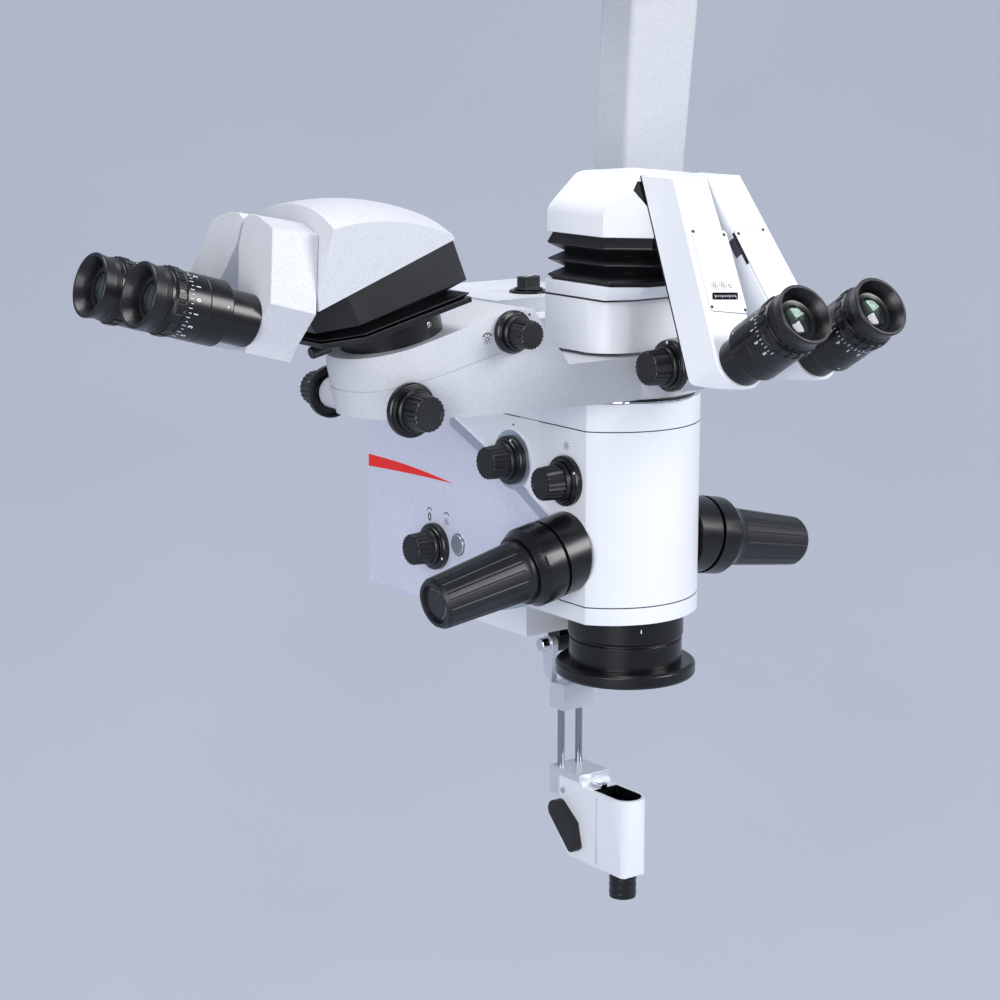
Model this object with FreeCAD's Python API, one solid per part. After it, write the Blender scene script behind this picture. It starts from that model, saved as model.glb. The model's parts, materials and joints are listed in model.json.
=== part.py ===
# Surgical microscope head: surgeon's binocular tube, side arm with an assistant's binocular tube,
# illumination housing, focusing and zoom controls, hand grips, and a wide-angle viewing
# attachment that hangs under the objective. Millimetres, +Z up, surgeon towards -Y, assistant
# towards -X. Pieces are modelled about the optical axis (X = Y = 0) with Z = 0 at the top of the
# surgeon's tube base, and are moved at the end so that the origin is the suspension flange.
import math
import os

import FreeCAD
import Part

V = FreeCAD.Vector
X_AXIS = V(1, 0, 0)
Y_AXIS = V(0, 1, 0)
Z_AXIS = V(0, 0, 1)

# Clearances shared by every fit
FIT = 0.05            # radial play of a shaft in its bore
GAP = 0.3             # running gap between faces of two moving pieces
SEAM = 0.8            # width and depth of a parting groove

# Suspension column and flange
COLUMN_X = 108.0      # centre of the column, beside the housing
COLUMN_WIDTH = 67.0   # along X
COLUMN_DEPTH = 43.0   # along Y
COLUMN_LEAN = 5.4     # degrees, forwards going up
COLUMN_CORNER = 5.0
COLUMN_FLARE = 2.5        # each side is this much wider at the top and narrower at the foot
COLUMN_TOP = 186.0
FLANGE_TOP = 214.0
FLANGE_R = 62.0
FLANGE_THICK = 12.0
FLANGE_HUB_R = 31.0
FLANGE_PCD = 100.0
FLANGE_HOLES = 6
FLANGE_HOLE_R = 4.5
SPINDLE_R = 18.0
TILT_Y = 138.0        # tilt axis of the whole head
TILT_Z = -150.0
TILT_SHAFT_R = 14.0
TILT_COLLAR_R = 30.0
TILT_HUB_R = 38.0

# Head housing
HALF = 58.0           # half width of the head
WALL = 5.0
FRONT_Y = -50.0       # foremost line of the rounded front
CORNER_Y = -20.0      # where the rounded front meets the flat sides
SHELL_REAR = 40.0
BODY_BOTTOM = -304.0
BOTTOM_SEAM = -290.0
SHELL_TOP = -150.0
CAP_TOP = -128.0
CAP_REAR = 64.0
REAR_END = 290.0
REAR_BOTTOM = -330.0
LOWER_FRONT = 56.0    # front of the housing below the body
DECK_Z = -60.0
STEP_Z = -72.0
STEP_Y = 99.0
DECK_END = 217.0
REAR_TOP = -118.0     # top of the rear wall, where the deck's slope ends
REAR_CORNER = 6.0
COVER_THICK = 3.5
COVER_PROUD = 1.0
TRIM_WIDTH = 9.0
TRIM_PROUD = 0.8
TRIM_END = 160.0
TRIM_RING_R = 24.5

# Objective
OBJECTIVE_R = 45.8
OBJECTIVE_BAND = 19.0     # height of the upper band
OBJECTIVE_BORE = 36.0
SPLASH_TOP = -344.5
SPLASH_THICK = 11.4
SPLASH_R = 56.6
LENS_THICK = 9.0
LENS_LIP = 3.0
LENS_CURVE = 3.5           # dome radius against the lens's own radius

# Zoom changer
ZOOM_Y = 4.0
ZOOM_Z = -192.0
ZOOM_R = 30.0
ZOOM_TUNNEL_R = 9.0
STEREO_BASE = 12.0        # half distance of the two light paths

# Beam splitter block, tube base and bellows of the surgeon's tube
BLOCK_BOTTOM = -88.5
BLOCK_TOP = -48.0
BLOCK_HALF = 57.0
BLOCK_REAR = 34.0
BLOCK_FRONT = -40.0
BLOCK_CORNER_Y = -18.0
SPIGOT_R = 34.0
PRISM_SIZE = 46.0
BASE_TOP = -36.0
HOOD_BOTTOM = 1.0
TUBE_REAR = 32.0
TUBE_FACET_Y = -37.0      # where the side turns into the slanted front facet
TUBE_FRONT_HALF = 30.0
TUBE_FRONT_Y = -64.0
HOOD_SIDE_TOP = 23.0
HOOD_TOP = 47.0
HOOD_ROOF_HALF = 30.0
FOLDS = 3
FOLD_DEPTH = 10.0
BELLOWS_WALL = 5.0
TUBE_PIVOT_Y = -6.0
TUBE_PIVOT_Z = -16.0
EAR_X = 25.0
EAR_THICK = 6.0
EAR_R = 9.0
PIN_R = 4.0

TUBE_HALF = 57.0

# Surgeon's swing arms that carry the eyepieces
ARM_LEAN = 32.3           # degrees from the vertical
ARM_TOP_Y = -90.3         # top front edge of the arms
ARM_THICK = 37.0
ARM_INNER = 0.3           # inner and outer edge at the top, from the middle
ARM_OUTER = 33.2
ARM_ABOVE = 26.0          # how far the outline runs on above the front edge
ARM_FOOT_R = 20.8         # round foot about the eyepiece
ARM_FOOT_Z = -98.0        # level underside behind the foot
ARM_HEEL_R = 15.0
ARM_PIVOT_X = 18.4
ARM_PIVOT_DROP = 12.0
EYE_X = 36.9              # eyepiece axis from the middle and from the arms' top edge
EYE_DROP = 150.25
ARM_PIN_R = 7.0
ARM_PIN_LENGTH = 14.0
ARM_EDGE = 2.0
SEAT_HALF = 30.0          # half width of the hood's front where the arms pivot
SEAT_DEPTH = 12.0         # how far the seat reaches back into the hood

# Eyepieces, the same in both tubes
EYE_TUBE_R = 18.5
EYE_NECK_R = 16.4
EYE_NECK = 8.0
EYE_BARREL_R = 23.0
EYE_BARREL = 49.0
EYE_LENS_R = 13.0
EYE_LENS_SEAT = 24.0
EYE_LENS_THICK = 5.0
EYE_SPIGOT_R = 11.0       # stepped root that sits in the arm
EYE_SPIGOT_WALL = 2.0
EYE_SPIGOT = 6.0
EYE_TUBE_WALL = 2.4
SURGEON_TUBE = 30.2
ASSISTANT_TUBE = 37.0

# Assistant's side arm
SIDE_HALF = 45.0
SIDE_SLOPE = 13.7
SIDE_TAPER_X = -190.0     # where the underside starts to narrow towards the end
SIDE_STRAIGHT = -228.0    # centre of the round end
SIDE_DRAFT_Z = -84.0      # height where the end's taper starts
SIDE_FOOT_HALF = 37.3
COLLAR_TOP = -91.0
COLLAR_BOTTOM = -124.7
CLAMP_X = -225.0          # axis of the assistant's tube where it leaves the arm
CLAMP_Z = -64.3
CLAMP_R = 38.5
CLAMP_HEIGHT = 20.0
CLAMP_BORE = 24.0
TUBE_PLATE_THICK = 4.0
F_BOSS_R = 21.0
CLAMP_SCREW_R = 2.2
CLAMP_SCREW_NECK = 14.5
CLAMP_HEAD_R = 4.8
CLAMP_HEAD = 16.0

# Assistant's tube
A_FRONT = -322.7
A_HALF = 57.0
A_PLATE_REAR = 38.0       # the base plate's two ends along the arm, from the clamp's axis
A_PLATE_FRONT = -78.0
A_CROWN_X = -276.0
A_CROWN_R = 185.0
A_CROWN_Z = 38.5
A_SIDE_DROP = 12.5        # how far the roof falls from its crown to its sides
A_HOOD_LOW_REAR = 10.0    # lower edge of the hood at its two ends
A_HOOD_LOW_FRONT = -33.0
A_HOOD_LOW_REAR_X = -208.0
A_ARM_THICK = 37.5
A_ARM_TOP_RISE = 3.0      # the arms' tops rise towards the hood
A_ARM_TOP = 60.0          # outline points above this height belong to the top
A_EYE_X = -366.7          # middle of the arms' front, level with the eyepiece axes
A_EYE_Y = 35.0
A_EYE_Z = -38.1
A_EYE_LEAN = 16.0
A_FOLD_SHARE = 0.45
A_PIVOT_UP = 52.0         # arm pivots above the eyepiece axes and from the middle
A_PIVOT_Y = 22.0

# Knobs
KNOB_FLANGE_R = 20.0
KNOB_FLANGE = 7.0
FLANGE_HOLLOW = 3.5       # depth of the ring sunk into the back of the side arm's two flanges
KNOB_CAP_R = 14.0
KNOB_CAP = 19.0
KNOB_FLUTES = 22
KNOB_SHAFT_R = 4.0
KNOB_SHAFT = 14.0
SMALL_KNOB = 0.8          # the beam selector's knob against the others
FOCUS_Y = 74.0
FOCUS_Z = -186.0
BRIGHTNESS_Y = 182.0
BRIGHTNESS_Z = -277.0
BUTTON_Y = 149.0
BUTTON_Z = -270.0
BUTTON_R = 8.5
BUTTON_PROUD = 2.0
WING_Y = 130.6
WING_DISC_R = 16.5
WING_DISC = 2.0
WING_HEIGHT = 11.0
WING_REST = 25.0
SELECTOR_X = -149.0
SELECTOR_Z = -62.0
SIDE_FOCUS_X = -240.0
SIDE_FOCUS_Z = -111.0
SIDE_FOCUS_NEAR = -45.0   # seats of the two knobs on their cross shaft
SIDE_FOCUS_FAR = 57.0
SIDE_BOSS_R = 12.0
COLLAR_KNOB_X = -12.0
COLLAR_KNOB_Y = -67.0
COLLAR_KNOB_Z = -96.7

# Hand grips
GRIP_Y = 3.0
GRIP_Z = -249.0
GRIP_DROOP = 10.6
GRIP_FLANGE_R = 31.5
GRIP_FLANGE = 22.0
GRIP_STEP = 26.0
GRIP_LENGTH = 82.0
GRIP_ROOT_R = 25.0
GRIP_END_R = 20.5
GRIP_RIBS = 20
GRIP_SHAFT_R = 8.0

# Wide-angle viewing attachment
SWING_Y = 82.0
SWING_Z = -348.0
ROD_X = 9.4
ROD_Y = 71.6
ROD_R = 3.0
ROD_END = -470.0
BLOCK_LOW = -401.5
BLOCK_HIGH = -379.5
VIEW_HALF = 16.0
VIEW_CHEEK = 10.0
SCREW_R = 2.0
PLATE_TOP = -452.0
PLATE_BOTTOM = -458.0
LEG_BOTTOM = -475.5
VIEW_BODY_HALF = 15.0
VIEW_BODY_TOP = -461.0
VIEW_BODY_BOTTOM = -527.0
VIEW_TAPER_Z = -505.0
VIEW_BODY_REAR = 66.0
VIEW_NOSE_Y = -4.0
VIEW_LENS_R = 11.1
VIEW_LENS_END = -548.0
VIEW_BORE_R = 8.0
LEVER_Y = 57.0
LEVER_Z = -490.0


def box(x0, x1, y0, y1, z0, z1):
    return Part.makeBox(x1 - x0, y1 - y0, z1 - z0, V(x0, y0, z0))


def rod(start, direction, radius, length):
    return Part.makeCylinder(radius, length, start, direction)


def lift_xy(a, b):
    return V(a, b, 0)


def lift_xz(a, b):
    return V(a, 0, b)


def lift_yz(a, b):
    return V(0, a, b)


def outline(steps, lift):
    """Closed face. A step of two numbers ends a straight run, one of four is an arc's middle and end."""
    here = lift(*steps[0])
    edges = []
    for step in steps[1:] + [steps[0]]:
        end = lift(*step[-2:])
        if len(step) == 4:
            edges.append(Part.Arc(here, lift(*step[:2]), end).toShape())
        elif (end - here).Length > 1e-6:
            edges.append(Part.makeLine(here, end))
        here = end
    return Part.Face(Part.Wire(edges))


def slab(steps, lift, start, end):
    """Outline extruded along its normal from one place to another."""
    normal = lift(1, 0).cross(lift(0, 1))
    normal.x, normal.y, normal.z = abs(normal.x), abs(normal.y), abs(normal.z)
    face = outline(steps, lift)
    face.translate(normal * start)
    return face.extrude(normal * (end - start))


def turned(profile):
    """Solid of revolution about Z from (radius, height) steps."""
    face = outline(profile, lift_xz)
    return face.revolve(V(0, 0, 0), Z_AXIS, 360)


def aimed(shape, origin, direction, twist=0):
    """Shape built about Z, turned so that Z points along a direction, at an origin."""
    moved = shape.copy()
    spin = FreeCAD.Rotation(Z_AXIS, twist)
    aim = FreeCAD.Rotation(Z_AXIS, direction)
    moved.Placement = FreeCAD.Placement(origin, aim.multiply(spin))
    return moved


def both_sides(shape):
    """The shape and its mirror image across the plane X = 0."""
    return shape.fuse(shape.mirror(V(0, 0, 0), X_AXIS))


def group(*shapes):
    return Part.makeCompound([solid for shape in shapes for solid in shape.Solids])


def upright_edges(shape, x_test, y_test):
    """Vertical edges whose place passes both tests."""
    found = []
    for edge in shape.Edges:
        first, last = edge.Vertexes[0].Point, edge.Vertexes[-1].Point
        straight_up = abs(first.x - last.x) < 1e-3 and abs(first.y - last.y) < 1e-3
        if straight_up and abs(first.z - last.z) > 1 and x_test(first.x) and y_test(first.y):
            found.append(edge)
    return found


# Suspension

def column_y(z):
    """Centre of the leaning column at a height."""
    return TILT_Y - (z - TILT_Z) * math.tan(math.radians(COLUMN_LEAN))


FLANGE_Y = column_y(COLUMN_TOP)
HUB_FACE = COLUMN_X - COLUMN_WIDTH / 2 + COLUMN_FLARE


def mount_flange():
    hub_bottom = COLUMN_TOP + GAP
    disc_bottom = FLANGE_TOP - FLANGE_THICK
    flange = rod(V(COLUMN_X, FLANGE_Y, disc_bottom), Z_AXIS, FLANGE_R, FLANGE_THICK)
    flange = flange.fuse(rod(V(COLUMN_X, FLANGE_Y, hub_bottom), Z_AXIS, FLANGE_HUB_R, FLANGE_TOP - hub_bottom))
    bore_top = disc_bottom + FLANGE_THICK / 2
    flange = flange.cut(rod(V(COLUMN_X, FLANGE_Y, hub_bottom), Z_AXIS, SPINDLE_R + FIT, bore_top - hub_bottom))
    for i in range(FLANGE_HOLES):
        angle = 2 * math.pi * i / FLANGE_HOLES
        at = V(COLUMN_X + FLANGE_PCD / 2 * math.cos(angle), FLANGE_Y + FLANGE_PCD / 2 * math.sin(angle), disc_bottom)
        flange = flange.cut(rod(at, Z_AXIS, FLANGE_HOLE_R, FLANGE_THICK))
    return flange


def column_section(z, grow):
    """Rectangle with rounded corners at one height of the column."""
    a = COLUMN_WIDTH / 2 + grow
    b = COLUMN_DEPTH / 2
    r = COLUMN_CORNER
    k = r * (1 - math.sqrt(0.5))
    y = column_y(z)
    steps = [(a - r, -b), (a - k, -b + k, a, -b + r), (a, b - r), (a - k, b - k, a - r, b),
             (-a + r, b), (-a + k, b - k, -a, b - r), (-a, -b + r), (-a + k, -b + k, -a + r, -b)]
    face = outline(steps, lift_xy)
    face.translate(V(COLUMN_X, y, z))
    return face.OuterWire


def suspension_column():
    foot = column_section(TILT_Z, -COLUMN_FLARE)
    beam = Part.makeLoft([foot, column_section(COLUMN_TOP, COLUMN_FLARE)], True, True)
    hub = rod(V(HUB_FACE, TILT_Y, TILT_Z), X_AXIS, TILT_HUB_R, COLUMN_WIDTH - 2 * COLUMN_FLARE)
    spindle_top = FLANGE_TOP - FLANGE_THICK / 2 - GAP
    spindle = rod(V(COLUMN_X, FLANGE_Y, COLUMN_TOP - WALL), Z_AXIS, SPINDLE_R, spindle_top - COLUMN_TOP + WALL)
    column = beam.fuse([hub, spindle]).removeSplitter()
    column = column.cut(rod(V(HALF, TILT_Y, TILT_Z), X_AXIS, TILT_COLLAR_R + FIT, HUB_FACE - HALF))
    return column.cut(rod(V(HALF, TILT_Y, TILT_Z), X_AXIS, TILT_SHAFT_R + FIT, COLUMN_X - HALF))


def tilt_shaft():
    inside = HALF - 4 * WALL
    shaft = rod(V(inside, TILT_Y, TILT_Z), X_AXIS, TILT_SHAFT_R, COLUMN_X - inside - GAP)
    collar_start = HALF + COVER_PROUD + GAP
    return shaft.fuse(rod(V(collar_start, TILT_Y, TILT_Z), X_AXIS, TILT_COLLAR_R, HUB_FACE - collar_start))


# Head housing

def front_plan(half, corner_y, front_y, rear_y):
    """Flat sides with a bowed front, seen from above."""
    return [(-half, rear_y), (-half, corner_y), (0, front_y, half, corner_y), (half, rear_y)]


def knob_bore(y, z):
    """Bore through the -X side for a knob's shaft."""
    return rod(V(-HALF - KNOB_FLANGE, y, z), X_AXIS, KNOB_SHAFT_R + FIT, KNOB_SHAFT + KNOB_FLANGE + WALL)


def seam_groove(plan, z):
    """Thin band of the plan's rim that cuts a parting groove at a height."""
    outer = slab(plan(1), lift_xy, z - SEAM / 2, z + SEAM / 2)
    return outer.cut(slab(plan(-SEAM), lift_xy, z - SEAM, z + SEAM))


def body_plan(grow):
    return front_plan(HALF + grow, CORNER_Y, FRONT_Y - grow, SHELL_REAR + grow)


def body_shell():
    shell = slab(body_plan(0), lift_xy, BODY_BOTTOM, SHELL_TOP)
    inner = front_plan(HALF - WALL, CORNER_Y, FRONT_Y + WALL, SHELL_REAR - WALL)
    shell = shell.cut(slab(inner, lift_xy, BODY_BOTTOM + WALL, SHELL_TOP))
    shell = shell.cut(rod(V(0, 0, BODY_BOTTOM), Z_AXIS, OBJECTIVE_BORE - WALL, WALL))
    boss_start = HALF - WALL - 2 * WALL
    boss = rod(V(boss_start, ZOOM_Y, ZOOM_Z), X_AXIS, 2 * KNOB_SHAFT_R, HALF - WALL - boss_start)
    shell = shell.fuse(boss)
    shell = shell.cut(rod(V(boss_start, ZOOM_Y, ZOOM_Z), X_AXIS, KNOB_SHAFT_R + FIT, 2 * WALL))
    shell = shell.cut(knob_bore(ZOOM_Y, ZOOM_Z))
    shell = shell.cut(seam_groove(body_plan, BOTTOM_SEAM))
    return shell.cut(cover_blank())


def top_cap():
    plan = front_plan(HALF, CORNER_Y, FRONT_Y, CAP_REAR)
    cap = slab(plan, lift_xy, SHELL_TOP, CAP_TOP)
    cap = cap.cut(rod(V(0, 0, SHELL_TOP), Z_AXIS, SPIGOT_R - WALL, CAP_TOP - SHELL_TOP))
    rim = seam_groove(lambda grow: front_plan(HALF + grow, CORNER_Y, FRONT_Y - grow, CAP_REAR + 5), SHELL_TOP)
    return cap.cut(rim)


def gap_ring():
    ring_top = COLLAR_BOTTOM - GAP
    ring = rod(V(0, 0, CAP_TOP), Z_AXIS, HALF - WALL, ring_top - CAP_TOP)
    return ring.cut(rod(V(0, 0, CAP_TOP), Z_AXIS, SPIGOT_R + FIT, ring_top - CAP_TOP))


def cover_outline():
    """Silver side cover seen from the side: a leaf with a rounded nose behind the hand grip."""
    nose_y = 4.0
    nose_z = -258.0
    nose_r = 19.0
    high = (nose_y - nose_r * 0.45, nose_z + nose_r * 0.89)
    low = (nose_y - nose_r * 0.35, nose_z - nose_r * 0.94)
    edge = REAR_END - COVER_THICK
    bottom = REAR_BOTTOM + COVER_THICK
    corner = 12.0
    k = corner * (1 - math.sqrt(0.5))
    return [high, (150, -164, edge, REAR_TOP - COVER_THICK), (edge, bottom + corner),
            (edge - k, bottom + k, edge - corner, bottom), (185, bottom),
            (95, -316, *low), (nose_y - nose_r, nose_z, *high)]


def cover_blank():
    """Both side covers as they fill their recesses."""
    inside = HALF + COVER_PROUD - COVER_THICK
    side = slab(cover_outline(), lift_yz, -HALF - COVER_PROUD, -inside)
    return both_sides(side)


def rear_housing():
    side = [(SHELL_REAR, BODY_BOTTOM), (LOWER_FRONT, BODY_BOTTOM), (LOWER_FRONT, REAR_BOTTOM), (REAR_END, REAR_BOTTOM),
            (REAR_END, REAR_TOP), (DECK_END, DECK_Z), (STEP_Y, DECK_Z), (STEP_Y, STEP_Z), (CAP_REAR, STEP_Z),
            (CAP_REAR, SHELL_TOP), (SHELL_REAR, SHELL_TOP)]
    housing = slab(side, lift_yz, -HALF, HALF)
    corners = upright_edges(housing, lambda x: True, lambda y: y > REAR_END - 1)
    housing = housing.makeFillet(REAR_CORNER, corners)
    room = [(SHELL_REAR + WALL, BODY_BOTTOM + WALL), (LOWER_FRONT + WALL, BODY_BOTTOM + WALL),
            (LOWER_FRONT + WALL, REAR_BOTTOM + WALL), (REAR_END - WALL, REAR_BOTTOM + WALL),
            (REAR_END - WALL, REAR_TOP - WALL), (DECK_END - WALL, DECK_Z - WALL), (STEP_Y + WALL, DECK_Z - WALL),
            (STEP_Y + WALL, STEP_Z - WALL), (CAP_REAR + WALL, STEP_Z - WALL),
            (CAP_REAR + WALL, SHELL_TOP - WALL), (SHELL_REAR + WALL, SHELL_TOP - WALL)]
    housing = housing.cut(slab(room, lift_yz, -HALF + WALL, HALF - WALL))
    inside = HALF - 4 * WALL
    housing = housing.fuse(rod(V(inside, TILT_Y, TILT_Z), X_AXIS, TILT_SHAFT_R + 2 * WALL, HALF - inside))
    housing = housing.cut(rod(V(inside, TILT_Y, TILT_Z), X_AXIS, TILT_SHAFT_R + FIT, HALF))
    for y, z in ((FOCUS_Y, FOCUS_Z), (BRIGHTNESS_Y, BRIGHTNESS_Z)):
        housing = housing.fuse(rod(V(-HALF, y, z), X_AXIS, 2 * KNOB_SHAFT_R, KNOB_SHAFT))
        housing = housing.cut(knob_bore(y, z))
    housing = housing.cut(rod(V(-HALF, BUTTON_Y, BUTTON_Z), X_AXIS, BUTTON_R + 2 * FIT, WALL))
    housing = housing.cut(rod(V(0, WING_Y, DECK_Z - WALL), Z_AXIS, KNOB_SHAFT_R + FIT, WALL))
    housing = housing.cut(cover_blank())
    return housing.cut(seam_groove(rear_plan, SHELL_TOP).common(box(-2 * HALF, 2 * HALF, CAP_REAR, TRIM_END, -200, -100)))


def rear_plan(grow):
    return [(-HALF - grow, 0), (-HALF - grow, REAR_END), (HALF + grow, REAR_END), (HALF + grow, 0)]


def side_covers():
    """Silver covers with a raised trim along their front edges and round the focus knob."""
    inside = HALF + COVER_PROUD - COVER_THICK
    face_x = -HALF - COVER_PROUD
    cover = slab(cover_outline(), lift_yz, face_x, -inside)
    leaf = outline(cover_outline(), lift_yz)
    rim = leaf.cut(leaf.makeOffset2D(-TRIM_WIDTH))
    rim.translate(V(face_x - TRIM_PROUD, 0, 0))
    trim = rim.extrude(V(TRIM_PROUD, 0, 0)).common(box(-2 * HALF, 0, -HALF, TRIM_END, REAR_BOTTOM, DECK_Z))
    trim = trim.fuse(rod(V(face_x - TRIM_PROUD, FOCUS_Y, FOCUS_Z), X_AXIS, TRIM_RING_R, TRIM_PROUD + COVER_PROUD))
    cover = cover.fuse(trim)
    for y, z in ((FOCUS_Y, FOCUS_Z), (BRIGHTNESS_Y, BRIGHTNESS_Z)):
        cover = cover.cut(knob_bore(y, z))
    cover = cover.cut(rod(V(-2 * HALF, BUTTON_Y, BUTTON_Z), X_AXIS, BUTTON_R + 2 * FIT, 2 * HALF))
    plain = slab(cover_outline(), lift_yz, inside, -face_x)
    plain = plain.cut(rod(V(0, TILT_Y, TILT_Z), X_AXIS, TILT_SHAFT_R + FIT, 2 * HALF))
    return group(cover, plain)


# Objective, splash ring and zoom changer

def objective_housing():
    r = OBJECTIVE_R
    band_end = BODY_BOTTOM - OBJECTIVE_BAND
    lip_top = SPLASH_TOP + LENS_LIP
    return turned([(OBJECTIVE_BORE, BODY_BOTTOM), (r + 0.7, BODY_BOTTOM), (r + 0.7, band_end + 1),
                   (r, band_end), (r - 1.5, band_end - 0.5), (r - 1.5, band_end - 2), (r - 0.3, band_end - 2.6),
                   (r - 0.3, SPLASH_TOP), (OBJECTIVE_BORE - LENS_LIP, SPLASH_TOP),
                   (OBJECTIVE_BORE - LENS_LIP, lip_top), (OBJECTIVE_BORE, lip_top)])


def lens(radius, low, high):
    """Flat-backed lens: a disc under a dome whose crown is at a height."""
    dome_r = LENS_CURVE * radius
    disc = rod(V(0, 0, low), Z_AXIS, radius, high - low)
    return disc.common(Part.makeSphere(dome_r, V(0, 0, high - dome_r)))


def objective_lens():
    low = SPLASH_TOP + LENS_LIP
    return lens(OBJECTIVE_BORE - FIT, low, low + LENS_THICK)


def splash_ring():
    low = SPLASH_TOP - SPLASH_THICK
    inner = OBJECTIVE_BORE + 2
    return turned([(inner, SPLASH_TOP), (SPLASH_R - 2, SPLASH_TOP), (SPLASH_R, SPLASH_TOP - 2),
                   (SPLASH_R, low + 2), (SPLASH_R - 1.5, low), (SPLASH_R - 7, low), (SPLASH_R - 9, low + 2),
                   (inner, low + 4)])


def zoom_changer():
    """Drum on a cross shaft with two pairs of light tunnels at right angles."""
    half = HALF - 3 * WALL - GAP
    drum = rod(V(-half, ZOOM_Y, ZOOM_Z), X_AXIS, ZOOM_R, 2 * half)
    shaft_start = -HALF - KNOB_FLANGE - KNOB_CAP / 2
    shaft = rod(V(shaft_start, ZOOM_Y, ZOOM_Z), X_AXIS, KNOB_SHAFT_R, HALF - WALL - GAP - shaft_start)
    drum = drum.fuse(shaft)
    for x in (-STEREO_BASE, STEREO_BASE):
        drum = drum.cut(rod(V(x, ZOOM_Y, ZOOM_Z - ZOOM_R), Z_AXIS, ZOOM_TUNNEL_R, 2 * ZOOM_R))
        drum = drum.cut(rod(V(x, ZOOM_Y - ZOOM_R, ZOOM_Z), Y_AXIS, ZOOM_TUNNEL_R - 2, 2 * ZOOM_R))
    return drum


# Beam splitter block and the surgeon's tube

def block_plan(grow):
    a = BLOCK_HALF + grow
    front = BLOCK_FRONT - grow
    half = BLOCK_HALF / 2
    return [(-a, BLOCK_REAR), (-a, BLOCK_CORNER_Y), (-0.82 * a, 0.85 * front, -half, front), (half, front),
            (0.82 * a, 0.85 * front, a, BLOCK_CORNER_Y), (a, BLOCK_REAR)]


def upper_block():
    block = slab(block_plan(0), lift_xy, BLOCK_BOTTOM, BLOCK_TOP)
    block = block.fuse(rod(V(0, 0, CAP_TOP), Z_AXIS, SPIGOT_R, BLOCK_BOTTOM - CAP_TOP))
    half = PRISM_SIZE / 2 + GAP
    block = block.cut(box(-half, half, -half, half, BLOCK_BOTTOM + WALL, BLOCK_TOP))
    return block.cut(rod(V(0, 0, CAP_TOP), Z_AXIS, SPIGOT_R - WALL - 7, BLOCK_TOP - CAP_TOP))


def beam_splitter_prism():
    half = PRISM_SIZE / 2
    low = BLOCK_BOTTOM + WALL
    prism = box(-half, half, -half, half, low, BLOCK_TOP - GAP)
    edge = [(-half, low), (-half, low + half / 2), (-half / 2, low)]
    return prism.cut(slab(edge, lift_yz, -half, half))


def facet_plan(half, rear, corner_y, front_half, front_y):
    """Straight sides with slanted facets that lead to a narrower front."""
    return [(-half, rear), (-half, corner_y), (-front_half, front_y), (front_half, front_y),
            (half, corner_y), (half, rear)]


def loop(points):
    """Closed wire through points."""
    return Part.makePolygon(points + points[:1])


def tube_base_plate():
    low = facet_plan(BLOCK_HALF, BLOCK_REAR, -39, 36, -47)
    high = facet_plan(BLOCK_HALF, BLOCK_REAR, -46, TUBE_FRONT_HALF + 4, TUBE_FRONT_Y)
    plate = prism_between([V(a, b, BLOCK_TOP) for a, b in low], [V(a, b, BASE_TOP) for a, b in high])
    for side in (-1, 1):
        plate = plate.fuse(ear(side * EAR_X, TUBE_PIVOT_Y, TUBE_PIVOT_Z, BASE_TOP - 1))
    plate = plate.cut(rod(V(-HALF, TUBE_PIVOT_Y, TUBE_PIVOT_Z), X_AXIS, PIN_R + FIT, 2 * HALF))
    return plate.cut(rod(V(0, 0, BLOCK_TOP), Z_AXIS, PRISM_SIZE / 2 - 3, BASE_TOP - BLOCK_TOP))


def ear(x, y, z, foot):
    """Upright lug with a round end about an axis along X."""
    start = x - EAR_THICK / 2
    lug = box(start, start + EAR_THICK, y - EAR_R, y + EAR_R, min(z, foot), max(z, foot))
    return lug.fuse(rod(V(start, y, z), X_AXIS, EAR_R, EAR_THICK))


def folded(low, high, levels):
    """Bellows wall: straight folds between two wires' point lists, at (height, inset) levels."""
    wires = []
    for height, scale in levels:
        middle = [a + (b - a) * height for a, b in zip(low, high)]
        centre = sum(middle, V(0, 0, 0)) * (1.0 / len(middle))
        ends = [centre + (p - centre) * scale for p in middle]
        wires.append(loop(ends))
    outer = Part.makeLoft(wires, True, True)
    inner_scale = min(scale for height, scale in levels) - BELLOWS_WALL / TUBE_HALF
    wires = []
    for height in (0, 1):
        middle = [a + (b - a) * height for a, b in zip(low, high)]
        centre = sum(middle, V(0, 0, 0)) * (1.0 / len(middle))
        ends = [centre + (p - centre) * inner_scale for p in middle]
        wires.append(loop(ends))
    return outer.cut(Part.makeLoft(wires, True, True))


def fold_levels(count, reach):
    """Tips and valleys of a bellows' folds over a share of its height."""
    shallow = 1 - 0.35 * FOLD_DEPTH / TUBE_HALF
    deep = 1 - FOLD_DEPTH / TUBE_HALF
    pitch = reach / count
    levels = [(0, shallow)]
    for i in range(count):
        levels.append(((i + 0.3) * pitch, 1.0))
        if i < count - 1:
            levels.append(((i + 0.8) * pitch, deep))
    return levels + [(1, shallow if reach == 1 else 1 - 0.1 * FOLD_DEPTH / TUBE_HALF)]


def surgeon_bellows():
    low = [V(a, b, BASE_TOP) for a, b in facet_plan(TUBE_HALF, TUBE_REAR, -44, TUBE_FRONT_HALF + 3, TUBE_FRONT_Y + 1)]
    high = [V(a, b, HOOD_BOTTOM) for a, b in hood_plan()]
    return folded(low, high, fold_levels(FOLDS, 1))


def hood_plan():
    return facet_plan(TUBE_HALF, TUBE_REAR, TUBE_FACET_Y, TUBE_FRONT_HALF, TUBE_FRONT_Y)


def arm_place(x, up, out):
    """Point in the plane of the surgeon's swing arms: across, up along the arm, out of its front."""
    return ARM_PLACEMENT.multVec(V(x, up, out))


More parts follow.
